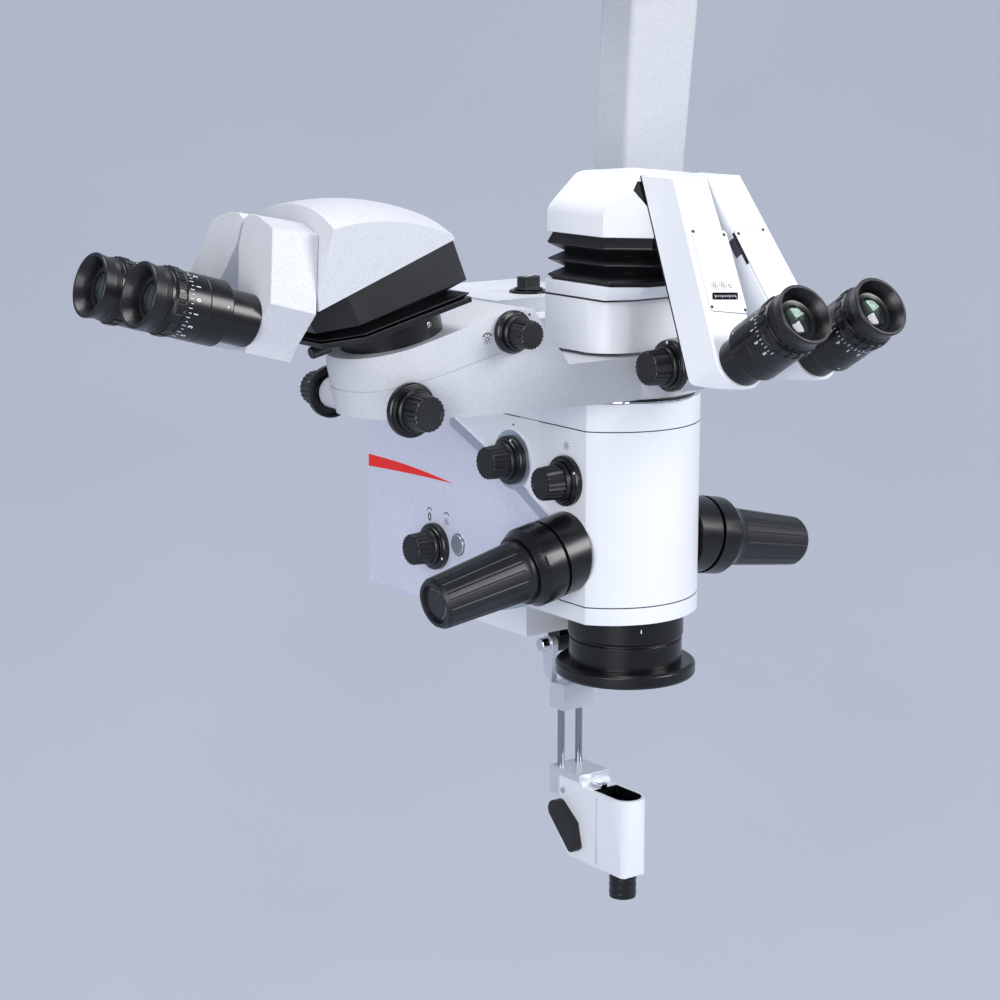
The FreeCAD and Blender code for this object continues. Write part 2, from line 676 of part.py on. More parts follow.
ARM_PLACEMENT = FreeCAD.Placement(V(0, ARM_TOP_Y, HOOD_TOP), FreeCAD.Rotation(X_AXIS, 90 - ARM_LEAN))
ARM_OUT = ARM_PLACEMENT.Rotation.multVec(Z_AXIS)


def surgeon_hood():
    """White hood with chamfered roof, slanted front facets and the seat of the swing arms."""
    roof = [(-TUBE_HALF, HOOD_BOTTOM), (-TUBE_HALF, HOOD_SIDE_TOP), (-HOOD_ROOF_HALF, HOOD_TOP),
            (HOOD_ROOF_HALF, HOOD_TOP), (TUBE_HALF, HOOD_SIDE_TOP), (TUBE_HALF, HOOD_BOTTOM)]
    hood = slab(roof, lift_xz, ARM_TOP_Y, TUBE_REAR)
    hood = hood.common(slab(hood_plan(), lift_xy, HOOD_BOTTOM, HOOD_TOP))
    seat_back = TUBE_FRONT_Y + SEAT_DEPTH
    seat = box(-SEAT_HALF, SEAT_HALF, 2 * ARM_TOP_Y, seat_back, HOOD_BOTTOM, HOOD_TOP)
    in_front = box(-2 * HALF, 2 * HALF, -6 * HALF, 6 * HALF, -ARM_THICK - GAP, 4 * HALF)
    in_front.Placement = ARM_PLACEMENT
    hood = hood.fuse(seat).cut(in_front)
    hood = hood.cut(box(-SEAT_HALF + WALL, SEAT_HALF - WALL, seat_back, TUBE_REAR - WALL,
                        HOOD_BOTTOM, HOOD_SIDE_TOP + 2 * WALL))
    for side in (-1, 1):
        lug_x = side * (EAR_X + EAR_THICK + GAP)
        hood = hood.fuse(ear(lug_x, TUBE_PIVOT_Y, TUBE_PIVOT_Z, HOOD_BOTTOM + 1))
        pin_start = lug_x - EAR_THICK * (1.5 if side > 0 else 0) - (GAP if side > 0 else 0)
        hood = hood.fuse(rod(V(pin_start, TUBE_PIVOT_Y, TUBE_PIVOT_Z), X_AXIS, PIN_R, 1.5 * EAR_THICK + GAP))
        foot = arm_place(side * ARM_PIVOT_X, -ARM_PIVOT_DROP, -ARM_THICK - GAP - 5)
        hood = hood.fuse(rod(foot, ARM_OUT, ARM_PIN_R, ARM_PIN_LENGTH + GAP + 5))
    return hood.removeSplitter()


def eye_root(side):
    """Where an eyepiece of the surgeon's tube leaves its arm."""
    return arm_place(side * EYE_X, -EYE_DROP, 0)


def touch(point, way):
    """Where a straight line from a point touches an arm's round foot, on one of its sides."""
    across = point[0] - EYE_X
    up = point[1] + EYE_DROP
    angle = math.atan2(up, across) + way * math.acos(ARM_FOOT_R / math.hypot(across, up))
    return EYE_X + ARM_FOOT_R * math.cos(angle), -EYE_DROP + ARM_FOOT_R * math.sin(angle)


def arm_side_view():
    """Arm seen from the side: level at the roof, level underside and a rounded heel."""
    lean = math.tan(math.radians(ARM_LEAN))
    depth = ARM_THICK / math.cos(math.radians(ARM_LEAN))
    foot_y = ARM_TOP_Y - (HOOD_TOP - ARM_FOOT_Z) * lean
    steps = [(ARM_TOP_Y, HOOD_TOP), (ARM_TOP_Y + depth, HOOD_TOP), (foot_y + depth, ARM_FOOT_Z), (foot_y, ARM_FOOT_Z)]
    blank = slab(steps, lift_yz, -2 * EYE_X, 2 * EYE_X)
    heel = [e for e in blank.Edges if abs(e.CenterOfMass.z - ARM_FOOT_Z) < 1 and abs(e.CenterOfMass.x) < 1
            and e.CenterOfMass.y > foot_y + 1 and e.BoundBox.XLength > EYE_X and e.BoundBox.YLength < 1]
    return blank.makeFillet(ARM_HEEL_R, heel)


def surgeon_arm(side):
    """Swing arm that widens from the roof and ends in a round foot about its eyepiece."""
    inner_low = touch((ARM_INNER, 0), 1)
    outer_low = touch((ARM_OUTER, 0), -1)
    taper = (outer_low[0] - ARM_OUTER) / -outer_low[1]
    steps = [(ARM_INNER, ARM_ABOVE), (ARM_INNER, 0), inner_low, (EYE_X, -EYE_DROP - ARM_FOOT_R, *outer_low),
             (ARM_OUTER - taper * ARM_ABOVE, ARM_ABOVE)]
    arm = slab(steps, lift_xy, -ARM_THICK, 0)
    arm = arm.makeFillet(ARM_EDGE, [e for e in arm.Edges if front_rim(e)])
    if side < 0:
        arm = arm.mirror(V(0, 0, 0), X_AXIS)
    arm.Placement = ARM_PLACEMENT.multiply(arm.Placement)
    arm = arm.common(arm_side_view())
    arm = arm.cut(rod(arm_place(side * ARM_PIVOT_X, -ARM_PIVOT_DROP, -ARM_THICK), ARM_OUT,
                      ARM_PIN_R + FIT, ARM_PIN_LENGTH + GAP))
    return arm.cut(rod(eye_root(side) - ARM_OUT * EYE_SPIGOT, ARM_OUT, EYE_SPIGOT_R + FIT, ARM_THICK))


def front_rim(edge):
    """Edges round the front face of an arm, apart from its top."""
    middle = edge.valueAt((edge.FirstParameter + edge.LastParameter) / 2)
    return abs(middle.z) < 1e-3 and middle.y < ARM_ABOVE - 1


# Eyepieces, built about Z and aimed

def eye_tube(length):
    """Tube with a stepped spigot for its arm and a neck that carries the dioptre barrel."""
    r = EYE_TUBE_R
    bore = EYE_NECK_R - EYE_TUBE_WALL
    spigot_bore = EYE_SPIGOT_R - EYE_SPIGOT_WALL
    return turned([(spigot_bore, -EYE_SPIGOT), (EYE_SPIGOT_R, -EYE_SPIGOT), (EYE_SPIGOT_R, 0), (r, 0), (r, length),
                   (EYE_NECK_R, length), (EYE_NECK_R, length + EYE_NECK), (bore, length + EYE_NECK),
                   (bore, EYE_TUBE_WALL), (spigot_bore, EYE_TUBE_WALL)])


def eye_barrel(start):
    """Dioptre barrel, scale ring and rubber cup."""
    z = start + GAP
    r = EYE_BARREL_R
    lens = EYE_LENS_R + FIT
    seat = z + EYE_LENS_SEAT
    top = seat + EYE_LENS_THICK + 1
    return turned([(EYE_NECK_R + FIT, z), (r - 3, z), (r - 3, z + 4), (r, z + 6), (r, z + 24), (r - 0.9, z + 24.6),
                   (r - 0.9, z + 26), (r + 0.3, z + 26.6), (r + 0.3, z + 31), (r - 1.6, z + 32.4),
                   (r - 1.6, z + 35), (r - 0.6, z + 36), (r - 1.4, z + 40), (r, z + EYE_BARREL - 1),
                   (r - 0.6, z + EYE_BARREL), (r - 2.4, z + EYE_BARREL), (r - 6, z + 43), (r - 8.5, top + 4),
                   (r - 8.5, top), (lens, top), (lens, seat), (EYE_LENS_R - 2, seat), (EYE_LENS_R - 2, z + 10),
                   (EYE_NECK_R + FIT, z + 10)])


def eye_lens(start):
    low = start + GAP + EYE_LENS_SEAT
    return lens(EYE_LENS_R, low, low + EYE_LENS_THICK)


def eyepiece(root, direction, length):
    """Tube, barrel and lens of one eyepiece."""
    return [aimed(shape, root, direction) for shape in (eye_tube(length), eye_barrel(length), eye_lens(length))]


# Assistant's side arm and clamp

SLOPE = math.radians(SIDE_SLOPE)
CLAMP_UP = V(-math.sin(SLOPE), 0, math.cos(SLOPE))
CLAMP_ALONG = V(math.cos(SLOPE), 0, math.sin(SLOPE))
CLAMP_FOOT = V(CLAMP_X, 0, CLAMP_Z)


def side_profile():
    """Side arm seen from the surgeon's side; the top slopes up towards the head."""
    return [(-WALL, COLLAR_BOTTOM), (-HALF, COLLAR_BOTTOM), (-205, -121), (-280, -118.5), (-280, -77.7),
            (-147, -45.3), (-128, -47), (-95, COLLAR_TOP), (-WALL, COLLAR_TOP)]


def side_plan(end_half, inset):
    """Side arm seen from above: parallel sides that narrow a little before the round end."""
    half = SIDE_HALF - inset
    end = end_half - inset
    return [(-WALL, -half), (SIDE_TAPER_X, -half), (SIDE_STRAIGHT, -end), (SIDE_STRAIGHT - end, 0, SIDE_STRAIGHT, end),
            (SIDE_TAPER_X, half), (-WALL, half)]


def side_block(inset):
    """Upright sides above and a tapered end below, as one block."""
    upper = slab(side_plan(SIDE_HALF, inset), lift_xy, SIDE_DRAFT_Z, 0)
    wires = []
    for half, z in ((SIDE_HALF, SIDE_DRAFT_Z), (SIDE_FOOT_HALF, COLLAR_BOTTOM)):
        wires.append(outline(side_plan(half, inset), lambda a, b: V(a, b, z)).OuterWire)
    return upper.fuse(Part.makeLoft(wires, True, True))


def collar_plan():
    return [(-HALF, 0), (-HALF, CORNER_Y), (0, FRONT_Y, HALF, CORNER_Y), (HALF, 0), (0, HALF, -HALF, 0)]


def arm_blank():
    arm = slab(side_profile(), lift_xz, -SIDE_HALF, SIDE_HALF).common(side_block(0))
    collar = slab(collar_plan(), lift_xy, COLLAR_BOTTOM, COLLAR_TOP)
    boss_start = COLLAR_KNOB_X
    boss = rod(V(boss_start, COLLAR_KNOB_Y, COLLAR_KNOB_Z), X_AXIS, F_BOSS_R, -2 * boss_start)
    boss = boss.cut(box(-HALF, HALF, BLOCK_FRONT - 9, 0, COLLAR_TOP, 0))
    arm = arm.fuse([collar, boss])
    room = slab(SIDE_ROOM, lift_xz, -SIDE_HALF + WALL, SIDE_HALF - WALL).common(side_block(WALL))
    bearing = rod(V(SIDE_FOCUS_X, SIDE_FOCUS_NEAR, SIDE_FOCUS_Z), Y_AXIS, SIDE_BOSS_R, SIDE_FOCUS_FAR - SIDE_FOCUS_NEAR)
    arm = arm.cut(room).fuse(bearing)
    arm = arm.cut(rod(V(0, 0, COLLAR_BOTTOM), Z_AXIS, SPIGOT_R + FIT, -COLLAR_BOTTOM))
    arm = arm.cut(rod(CLAMP_FOOT - CLAMP_UP * 2 * WALL, CLAMP_UP, CLAMP_BORE - 4, 4 * WALL))
    arm = arm.cut(rod(V(SIDE_FOCUS_X, SIDE_FOCUS_NEAR, SIDE_FOCUS_Z), Y_AXIS, KNOB_SHAFT_R + FIT,
                      SIDE_FOCUS_FAR - SIDE_FOCUS_NEAR))
    arm = arm.cut(rod(V(SELECTOR_X, -SIDE_HALF, SELECTOR_Z), Y_AXIS, KNOB_SHAFT_R + FIT, KNOB_SHAFT))
    knob_place = V(boss_start, COLLAR_KNOB_Y, COLLAR_KNOB_Z)
    arm = arm.cut(rod(knob_place, -X_AXIS, KNOB_FLANGE_R + FIT, KNOB_FLANGE))
    return arm.cut(rod(knob_place, X_AXIS, KNOB_SHAFT_R + FIT, KNOB_SHAFT))


# Hollow inside the side arm, and the parting line on its outside, both seen from the surgeon's side
SIDE_ROOM = [(-70, COLLAR_BOTTOM + WALL), (-205, -116), (-275, -113.5), (-275, -82), (-150, -52), (-130, -53),
             (-104, -95), (-70, -97)]
SEAM_LINE = [(-300, -101), (-262, -98.5), (-200, -86), (-159, -76.5), (-152, -74), (-152, -20)]


def above_seam():
    return slab(SEAM_LINE + [(-300, -20)], lift_xz, -HALF, HALF)


def arm_groove():
    """Shallow groove that marks the joint round the outside of the side arm."""
    rim = side_block(-1).cut(side_block(SEAM))
    line = SEAM_LINE[:-2]
    band = line + [(a, b - SEAM) for a, b in reversed(line)]
    return rim.common(slab(band, lift_xz, -HALF, HALF))


def assistant_arm():
    return arm_blank().cut(above_seam()).cut(arm_groove())


def assistant_arm_cover():
    return arm_blank().common(above_seam())


def clamp_ring():
    h = CLAMP_HEIGHT
    ring = turned([(CLAMP_BORE, 0), (CLAMP_R, 0), (CLAMP_R, h - 3), (CLAMP_R - 2, h), (CLAMP_BORE, h)])
    ring = ring.cut(rod(V(0, 0, h / 2), -X_AXIS, CLAMP_SCREW_R + FIT, 2 * CLAMP_R))
    return aimed(ring, CLAMP_FOOT, CLAMP_UP)


def clamp_screw():
    """Thin screw with a long fluted head that points away from the microscope's head."""
    start = CLAMP_BORE + 2 * GAP
    mid = V(0, 0, CLAMP_HEIGHT / 2)
    head = CLAMP_R + CLAMP_SCREW_NECK
    screw = rod(mid - X_AXIS * start, -X_AXIS, CLAMP_SCREW_R, head + 4 - start)
    grip = fluted(CLAMP_HEAD_R, 0.94 * CLAMP_HEAD_R, 0, CLAMP_HEAD, 12, 0.5)
    screw = screw.fuse(aimed(grip, mid - X_AXIS * head, -X_AXIS))
    return aimed(screw, CLAMP_FOOT, CLAMP_UP)


def fluted(low_r, high_r, z0, z1, count, depth):
    """Knurled grip: a many-pointed prism that tapers."""
    wires = []
    for r, z in ((low_r, z0), (high_r, z1 - depth), (high_r - depth, z1)):
        points = []
        for i in range(2 * count):
            angle = math.pi * i / count
            reach = r if i % 2 else r - depth
            points.append(V(reach * math.cos(angle), reach * math.sin(angle), z))
        wires.append(loop(points))
    return Part.makeLoft(wires, True, True)


# Assistant's tube

def clamp_place(along, across, up):
    return CLAMP_FOOT + CLAMP_ALONG * along + Y_AXIS * across + CLAMP_UP * up


A_PLATE_LOW = CLAMP_HEIGHT + GAP
A_PLATE_TOP = A_PLATE_LOW + TUBE_PLATE_THICK
A_PIVOT = A_PLATE_TOP + 18
A_PLAN = [(0, 1), (0.8, 1), (1, 0.6), (1, -0.6), (0.8, -1), (0, -1)]


def a_low(height):
    """Outline of the tube's base plate at a height above the clamp."""
    return [clamp_place(A_PLATE_REAR + (A_PLATE_FRONT - A_PLATE_REAR) * a, b * A_HALF, height) for a, b in A_PLAN]


def a_high():
    """Lower edge of the hood, which slopes down towards the eyepieces."""
    rear = V(A_HOOD_LOW_REAR_X, 0, A_HOOD_LOW_REAR)
    front = V(A_FRONT, 0, A_HOOD_LOW_FRONT)
    return [rear + (front - rear) * a + Y_AXIS * (b * A_HALF) for a, b in A_PLAN]


def prism_between(low, high):
    return Part.makeLoft([loop(low), loop(high)], True, True)


def a_ear(across, foot):
    """Lug of the assistant's tube, upright on its base and pierced along Y."""
    start = clamp_place(0, across - EAR_THICK / 2, A_PIVOT)
    lug = rod(start, Y_AXIS, EAR_R, EAR_THICK)
    corners = [clamp_place(a, across - EAR_THICK / 2, up) for a, up in
               ((-EAR_R, A_PIVOT), (EAR_R, A_PIVOT), (EAR_R, foot), (-EAR_R, foot))]
    face = Part.Face(Part.makePolygon(corners + corners[:1]))
    return lug.fuse(face.extrude(Y_AXIS * EAR_THICK))


def assistant_tube_base():
    plate = prism_between(a_low(A_PLATE_LOW), a_low(A_PLATE_TOP))
    spigot = rod(clamp_place(0, 0, 4), CLAMP_UP, CLAMP_BORE - FIT, A_PLATE_LOW - 4)
    base = plate.fuse(spigot)
    for side in (-1, 1):
        base = base.fuse(a_ear(side * EAR_X, A_PLATE_TOP - 1))
    base = base.cut(rod(clamp_place(0, -HALF, A_PIVOT), Y_AXIS, PIN_R + FIT, 2 * HALF))
    return base.cut(rod(clamp_place(0, 0, 0), CLAMP_UP, CLAMP_BORE - 6, 2 * CLAMP_HEIGHT))


def assistant_bellows():
    return folded(a_low(A_PLATE_TOP), a_high(), fold_levels(2, A_FOLD_SHARE))


A_EYE_WAY = V(-math.cos(math.radians(A_EYE_LEAN)), 0, math.sin(math.radians(A_EYE_LEAN)))
A_UP = V(math.sin(math.radians(A_EYE_LEAN)), 0, math.cos(math.radians(A_EYE_LEAN)))


def a_arm_place(across, up, out):
    """Point about the assistant's eyepieces: across the tube, up along the arms, out of their front."""
    return V(A_EYE_X, 0, A_EYE_Z) + Y_AXIS * across + A_UP * up + A_EYE_WAY * out


def assistant_hood():
    """Hood with a barrel-shaped roof, cut level with the bellows' top edge and slanted behind the arms."""
    drop = A_CROWN_R - A_SIDE_DROP
    over = A_HALF + 3
    barrel = turned([(0, -over), (drop - 1.3, -over), (A_CROWN_R, 0, drop - 1.3, over), (0, over)])
    barrel = aimed(barrel, V(A_CROWN_X, 0, A_CROWN_Z - A_CROWN_R), Y_AXIS)
    rear_x = A_HOOD_LOW_REAR_X
    side = [(rear_x, A_HOOD_LOW_REAR), (A_FRONT, A_HOOD_LOW_FRONT), (A_FRONT, 60), (rear_x - 9, 60),
            (rear_x - 2, A_HOOD_LOW_REAR + 5)]
    hood = slab(side, lift_xz, -A_HALF, A_HALF).common(barrel)
    arm_rear = -A_ARM_THICK - GAP
    corners = [a_arm_place(-2 * HALF, up, out) for up, out in ((-200, arm_rear), (200, arm_rear), (200, 100), (-200, 100))]
    hood = hood.cut(Part.Face(Part.makePolygon(corners + corners[:1])).extrude(Y_AXIS * 4 * HALF))
    room = box(rear_x - 90, rear_x - 12, -EAR_X + WALL, EAR_X - WALL, A_HOOD_LOW_FRONT, A_CROWN_Z - 4 * WALL)
    hood = hood.cut(room)
    for side_way in (-1, 1):
        lug_y = side_way * (EAR_X + EAR_THICK + GAP)
        hood = hood.fuse(a_ear(lug_y, A_PIVOT + 27))
        pin = clamp_place(0, side_way * (EAR_X - EAR_THICK / 2), A_PIVOT)
        hood = hood.fuse(rod(pin, Y_AXIS * side_way, PIN_R, 1.5 * EAR_THICK + GAP))
        foot = a_arm_place(side_way * A_PIVOT_Y, A_PIVOT_UP, arm_rear - WALL)
        hood = hood.fuse(rod(foot, A_EYE_WAY, ARM_PIN_R, ARM_PIN_LENGTH + GAP + WALL))
    return hood.removeSplitter()


# Front of an assistant's arm: distance from the middle and height above the eyepiece axis
A_ARM_OUTLINE = [(1.4, 52), (2, 69.6), (7, 72.8), (19, 72.3), (41, 65.5), (60, 14.5), (45, -10.8), (41, -22),
                 (25, -20), (18.5, 0), (13.9, 19.3)]


def assistant_swing_arm(side):
    """Swing arm square to its eyepiece, with a sloping top and a foot that is drawn in."""
    front = [a_arm_place(side * across, up, 0) for across, up in A_ARM_OUTLINE]
    rear = []
    for across, up in A_ARM_OUTLINE:
        rise = A_ARM_TOP_RISE if up > A_ARM_TOP else 0
        rear.append(a_arm_place(side * across, up + rise, -A_ARM_THICK))
    arm = prism_between(rear, front)
    pivot = a_arm_place(side * A_PIVOT_Y, A_PIVOT_UP, -A_ARM_THICK)
    arm = arm.cut(rod(pivot, A_EYE_WAY, ARM_PIN_R + FIT, ARM_PIN_LENGTH + GAP))
    return arm.cut(rod(a_eye_root(side) - A_EYE_WAY * EYE_SPIGOT, A_EYE_WAY, EYE_SPIGOT_R + FIT, A_ARM_THICK))


def a_eye_root(side):
    return a_arm_place(side * A_EYE_Y, 0, 0)


# Knobs, built about Z with their seat at Z = 0

def knob_flange(scale=1.0, hollow=0.0):
    """Round scale flange; a hollow one has a ring sunk into its back."""
    r = KNOB_FLANGE_R * scale
    hub = KNOB_CAP_R * scale + 3
    t = KNOB_FLANGE
    flange = turned([(KNOB_SHAFT_R + FIT, 0), (r, 0), (r, 0.6 * t), (r - 1.2, 0.78 * t), (hub + 0.6, 0.78 * t),
                     (hub, t), (KNOB_SHAFT_R + FIT, t)])
    if hollow:
        flange = flange.cut(turned([(SIDE_BOSS_R, 0), (r - 2, 0), (r - 2, hollow), (SIDE_BOSS_R, hollow)]))
    return flange


def knob_cap(scale=1.0, shaft=KNOB_SHAFT):
    r = KNOB_CAP_R * scale
    low = KNOB_FLANGE + GAP
    skirt = turned([(0, low), (r + 1.6, low), (r + 1.6, low + 2.2), (r + 0.6, low + 3.4), (0, low + 3.4)])
    grip = fluted(r, 0.94 * r, low + 3, low + KNOB_CAP, KNOB_FLUTES, 0.8)
    return skirt.fuse([grip, rod(V(0, 0, GAP - shaft), Z_AXIS, KNOB_SHAFT_R, low + shaft)])


FOCUS_SEAT = V(-HALF - COVER_PROUD - TRIM_PROUD, FOCUS_Y, FOCUS_Z)
ZOOM_SEAT = V(-HALF, ZOOM_Y, ZOOM_Z)
BRIGHTNESS_SEAT = V(-HALF - COVER_PROUD, BRIGHTNESS_Y, BRIGHTNESS_Z)
SELECTOR_SEAT = V(SELECTOR_X, -SIDE_HALF, SELECTOR_Z)
COLLAR_KNOB_SEAT = V(COLLAR_KNOB_X, COLLAR_KNOB_Y, COLLAR_KNOB_Z)
WING_SEAT = V(0, WING_Y, DECK_Z)


def side_focus_seat(side):
    return V(SIDE_FOCUS_X, SIDE_FOCUS_NEAR if side < 0 else SIDE_FOCUS_FAR, SIDE_FOCUS_Z)


def wing_disc():
    disc = turned([(KNOB_SHAFT_R + FIT, 0), (WING_DISC_R, 0), (WING_DISC_R - 1, WING_DISC),
                   (KNOB_SHAFT_R + FIT, WING_DISC)])
    return aimed(disc, WING_SEAT, Z_AXIS)


def wing_knob():
    low = WING_DISC + GAP
    knob = turned([(0, low), (12, low), (12, low + 1.5), (0, low + 1.5)])
    grip = box(-10, 10, -4.5, 4.5, low, low + WING_HEIGHT)
    corners = upright_edges(grip, lambda x: True, lambda y: True)
    grip = grip.makeFillet(3, corners)
    knob = knob.fuse([grip, rod(V(0, 0, GAP - WALL), Z_AXIS, KNOB_SHAFT_R, low + WALL)])
    knob.rotate(V(0, 0, 0), Z_AXIS, WING_REST)
    return aimed(knob, WING_SEAT, Z_AXIS)


def knob_flanges():
    rings = [aimed(knob_flange(), seat, -X_AXIS) for seat in (FOCUS_SEAT, ZOOM_SEAT, BRIGHTNESS_SEAT)]
    return group(wing_disc(), *rings)


def arm_knob_flanges():
    return group(aimed(knob_flange(SMALL_KNOB), SELECTOR_SEAT, -Y_AXIS),
                 aimed(knob_flange(hollow=FLANGE_HOLLOW), side_focus_seat(-1), -Y_AXIS),
                 aimed(knob_flange(hollow=FLANGE_HOLLOW), side_focus_seat(1), Y_AXIS),
                 aimed(knob_flange(), COLLAR_KNOB_SEAT, -X_AXIS))


def zoom_knob():
    """Cap that is pushed on the zoom drum's shaft."""
    cap = aimed(knob_cap(shaft=0), ZOOM_SEAT, -X_AXIS)
    return cap.cut(rod(V(-HALF - KNOB_FLANGE - KNOB_CAP / 2 - FIT, ZOOM_Y, ZOOM_Z), X_AXIS, KNOB_SHAFT_R + FIT, HALF))


def side_focus_knobs():
    """Two caps on one cross shaft through the side arm."""
    caps = [aimed(knob_cap(shaft=SIDE_HALF), side_focus_seat(side), Y_AXIS * side) for side in (-1, 1)]
    return caps[0].fuse(caps[1]).removeSplitter()


def push_button():
    depth = BUTTON_PROUD + COVER_THICK
    start = -HALF - COVER_PROUD - BUTTON_PROUD
    button = rod(V(start, BUTTON_Y, BUTTON_Z), X_AXIS, BUTTON_R, depth)
    return button.makeFillet(0.8, [e for e in button.Edges if abs(e.BoundBox.XMax - start) < 1e-3])


# Hand grips

def grip_way(side):
    angle = math.radians(GRIP_DROOP)
    return V(side * math.cos(angle), 0, -math.sin(angle))


def grip_root(side):
    return V(side * HALF, GRIP_Y, GRIP_Z)


def grip_flange(side):
    """Two-step root flange with a dark groove, cut square to the head's side."""
    r = GRIP_FLANGE_R
    end = GRIP_FLANGE + GRIP_STEP
    bore = GRIP_SHAFT_R + FIT
    profile = [(bore, -12), (r, -12), (r, GRIP_FLANGE - 1.5), (r - 3, GRIP_FLANGE - 1.5), (r - 3, GRIP_FLANGE + 1.5),
               (r + 0.5, GRIP_FLANGE + 1.5), (r + 0.5, end - 8), (r - 2, end - 4), (r - 4, end), (bore, end)]
    flange = aimed(turned(profile), grip_root(side), grip_way(side))
    return flange.cut(box(-HALF, HALF, -2 * HALF, 2 * HALF, -400, 0))


def grip_flanges():
    covers = cover_and_trim_blank()
    return group(*[grip_flange(side).cut(covers) for side in (-1, 1)])


def cover_and_trim_blank():
    raised = slab(cover_outline(), lift_yz, -HALF - COVER_PROUD - TRIM_PROUD, -HALF)
    plain = slab(cover_outline(), lift_yz, HALF, HALF + COVER_PROUD)
    return raised.fuse(plain)


def hand_grip(side):
    """Tapered grip with long rounded flutes and a sunk disc in its end."""
    low = GRIP_FLANGE + GRIP_STEP + GAP
    end = low + GRIP_LENGTH
    root, tip = GRIP_ROOT_R, GRIP_END_R
    profile = [(0, low), (root, low), (root, low + 3), (root - 1, low + 6), (tip, end - 3), (tip - 2, end),
               (tip - 5, end), (tip - 6, end - 3), (tip - 9, end - 3), (tip - 9, end - 2), (0, end - 2)]
    grip = turned(profile)
    lean = math.degrees(math.atan2(root - 1 - tip, GRIP_LENGTH - 9))
    for i in range(GRIP_RIBS):
        flute = rod(V(root + 0.6, 0, low + 9), Z_AXIS, 2.2, GRIP_LENGTH)
        flute.rotate(V(root + 0.6, 0, low + 9), Y_AXIS, -lean)
        flute.rotate(V(0, 0, 0), Z_AXIS, 360 * i / GRIP_RIBS)
        grip = grip.cut(flute)
    grip = grip.fuse(rod(V(0, 0, GRIP_STEP), Z_AXIS, GRIP_SHAFT_R, low - GRIP_STEP + 1))
    return aimed(grip, grip_root(side), grip_way(side))


# Wide-angle viewing attachment

def viewer_bracket():
    plate = box(-22, 22, LOWER_FRONT + 2, 100, REAR_BOTTOM - 6, REAR_BOTTOM)
    cheek = VIEW_CHEEK - GAP
    lug = box(-cheek, cheek, SWING_Y - 8, SWING_Y + 8, SWING_Z, REAR_BOTTOM - 6)
    lug = lug.fuse(rod(V(-cheek, SWING_Y, SWING_Z), X_AXIS, 8, 2 * cheek))
    bracket = plate.fuse(lug)
    return bracket.cut(rod(V(-HALF, SWING_Y, SWING_Z), X_AXIS, PIN_R + FIT, 2 * HALF))


def viewer_hanger():
    """Swing block: two cheeks on a pin, a square block and two guide rods."""
    block = box(-VIEW_HALF, VIEW_HALF, 60.5, 79, BLOCK_LOW, BLOCK_HIGH)
    hanger = block
    for x in (-VIEW_HALF, VIEW_CHEEK):
        cheek = slab([(SWING_Y - 5, BLOCK_HIGH - 1), (SWING_Y - 7, SWING_Z), (SWING_Y, SWING_Z + 7, SWING_Y + 7, SWING_Z),
                      (SWING_Y + 5, BLOCK_HIGH + 6), (79, BLOCK_HIGH - 1)], lift_yz, x, x + VIEW_HALF - VIEW_CHEEK)
        hanger = hanger.fuse(cheek)
    hanger = hanger.fuse(rod(V(-VIEW_HALF + 1, SWING_Y, SWING_Z), X_AXIS, PIN_R, 2 * VIEW_HALF - 2))
    for x in (-ROD_X, ROD_X):
        hanger = hanger.fuse(rod(V(x, ROD_Y, ROD_END), Z_AXIS, ROD_R, BLOCK_LOW - ROD_END + 1))
    return hanger.cut(rod(V(-VIEW_HALF, SWING_Y, SWING_Z), X_AXIS, SCREW_R + FIT, 8))


def viewer_thumbscrew():
    head = aimed(fluted(5.5, 5.5, 0, 8, 10, 0.5), V(-VIEW_HALF - GAP, SWING_Y, SWING_Z), -X_AXIS)
    return head.fuse(rod(V(-VIEW_HALF - 1, SWING_Y, SWING_Z), X_AXIS, SCREW_R, 8))


def viewer_carriage():
    plate = box(-VIEW_HALF, VIEW_HALF, 38.7, 78.3, PLATE_BOTTOM, PLATE_TOP)
    leg = box(-VIEW_HALF, VIEW_HALF, VIEW_BODY_REAR, 78.3, LEG_BOTTOM, PLATE_TOP)
    carriage = plate.fuse(leg).removeSplitter()
    for x in (-ROD_X, ROD_X):
        carriage = carriage.cut(rod(V(x, ROD_Y, LEG_BOTTOM), Z_AXIS, ROD_R + FIT, PLATE_TOP - LEG_BOTTOM))
    return carriage


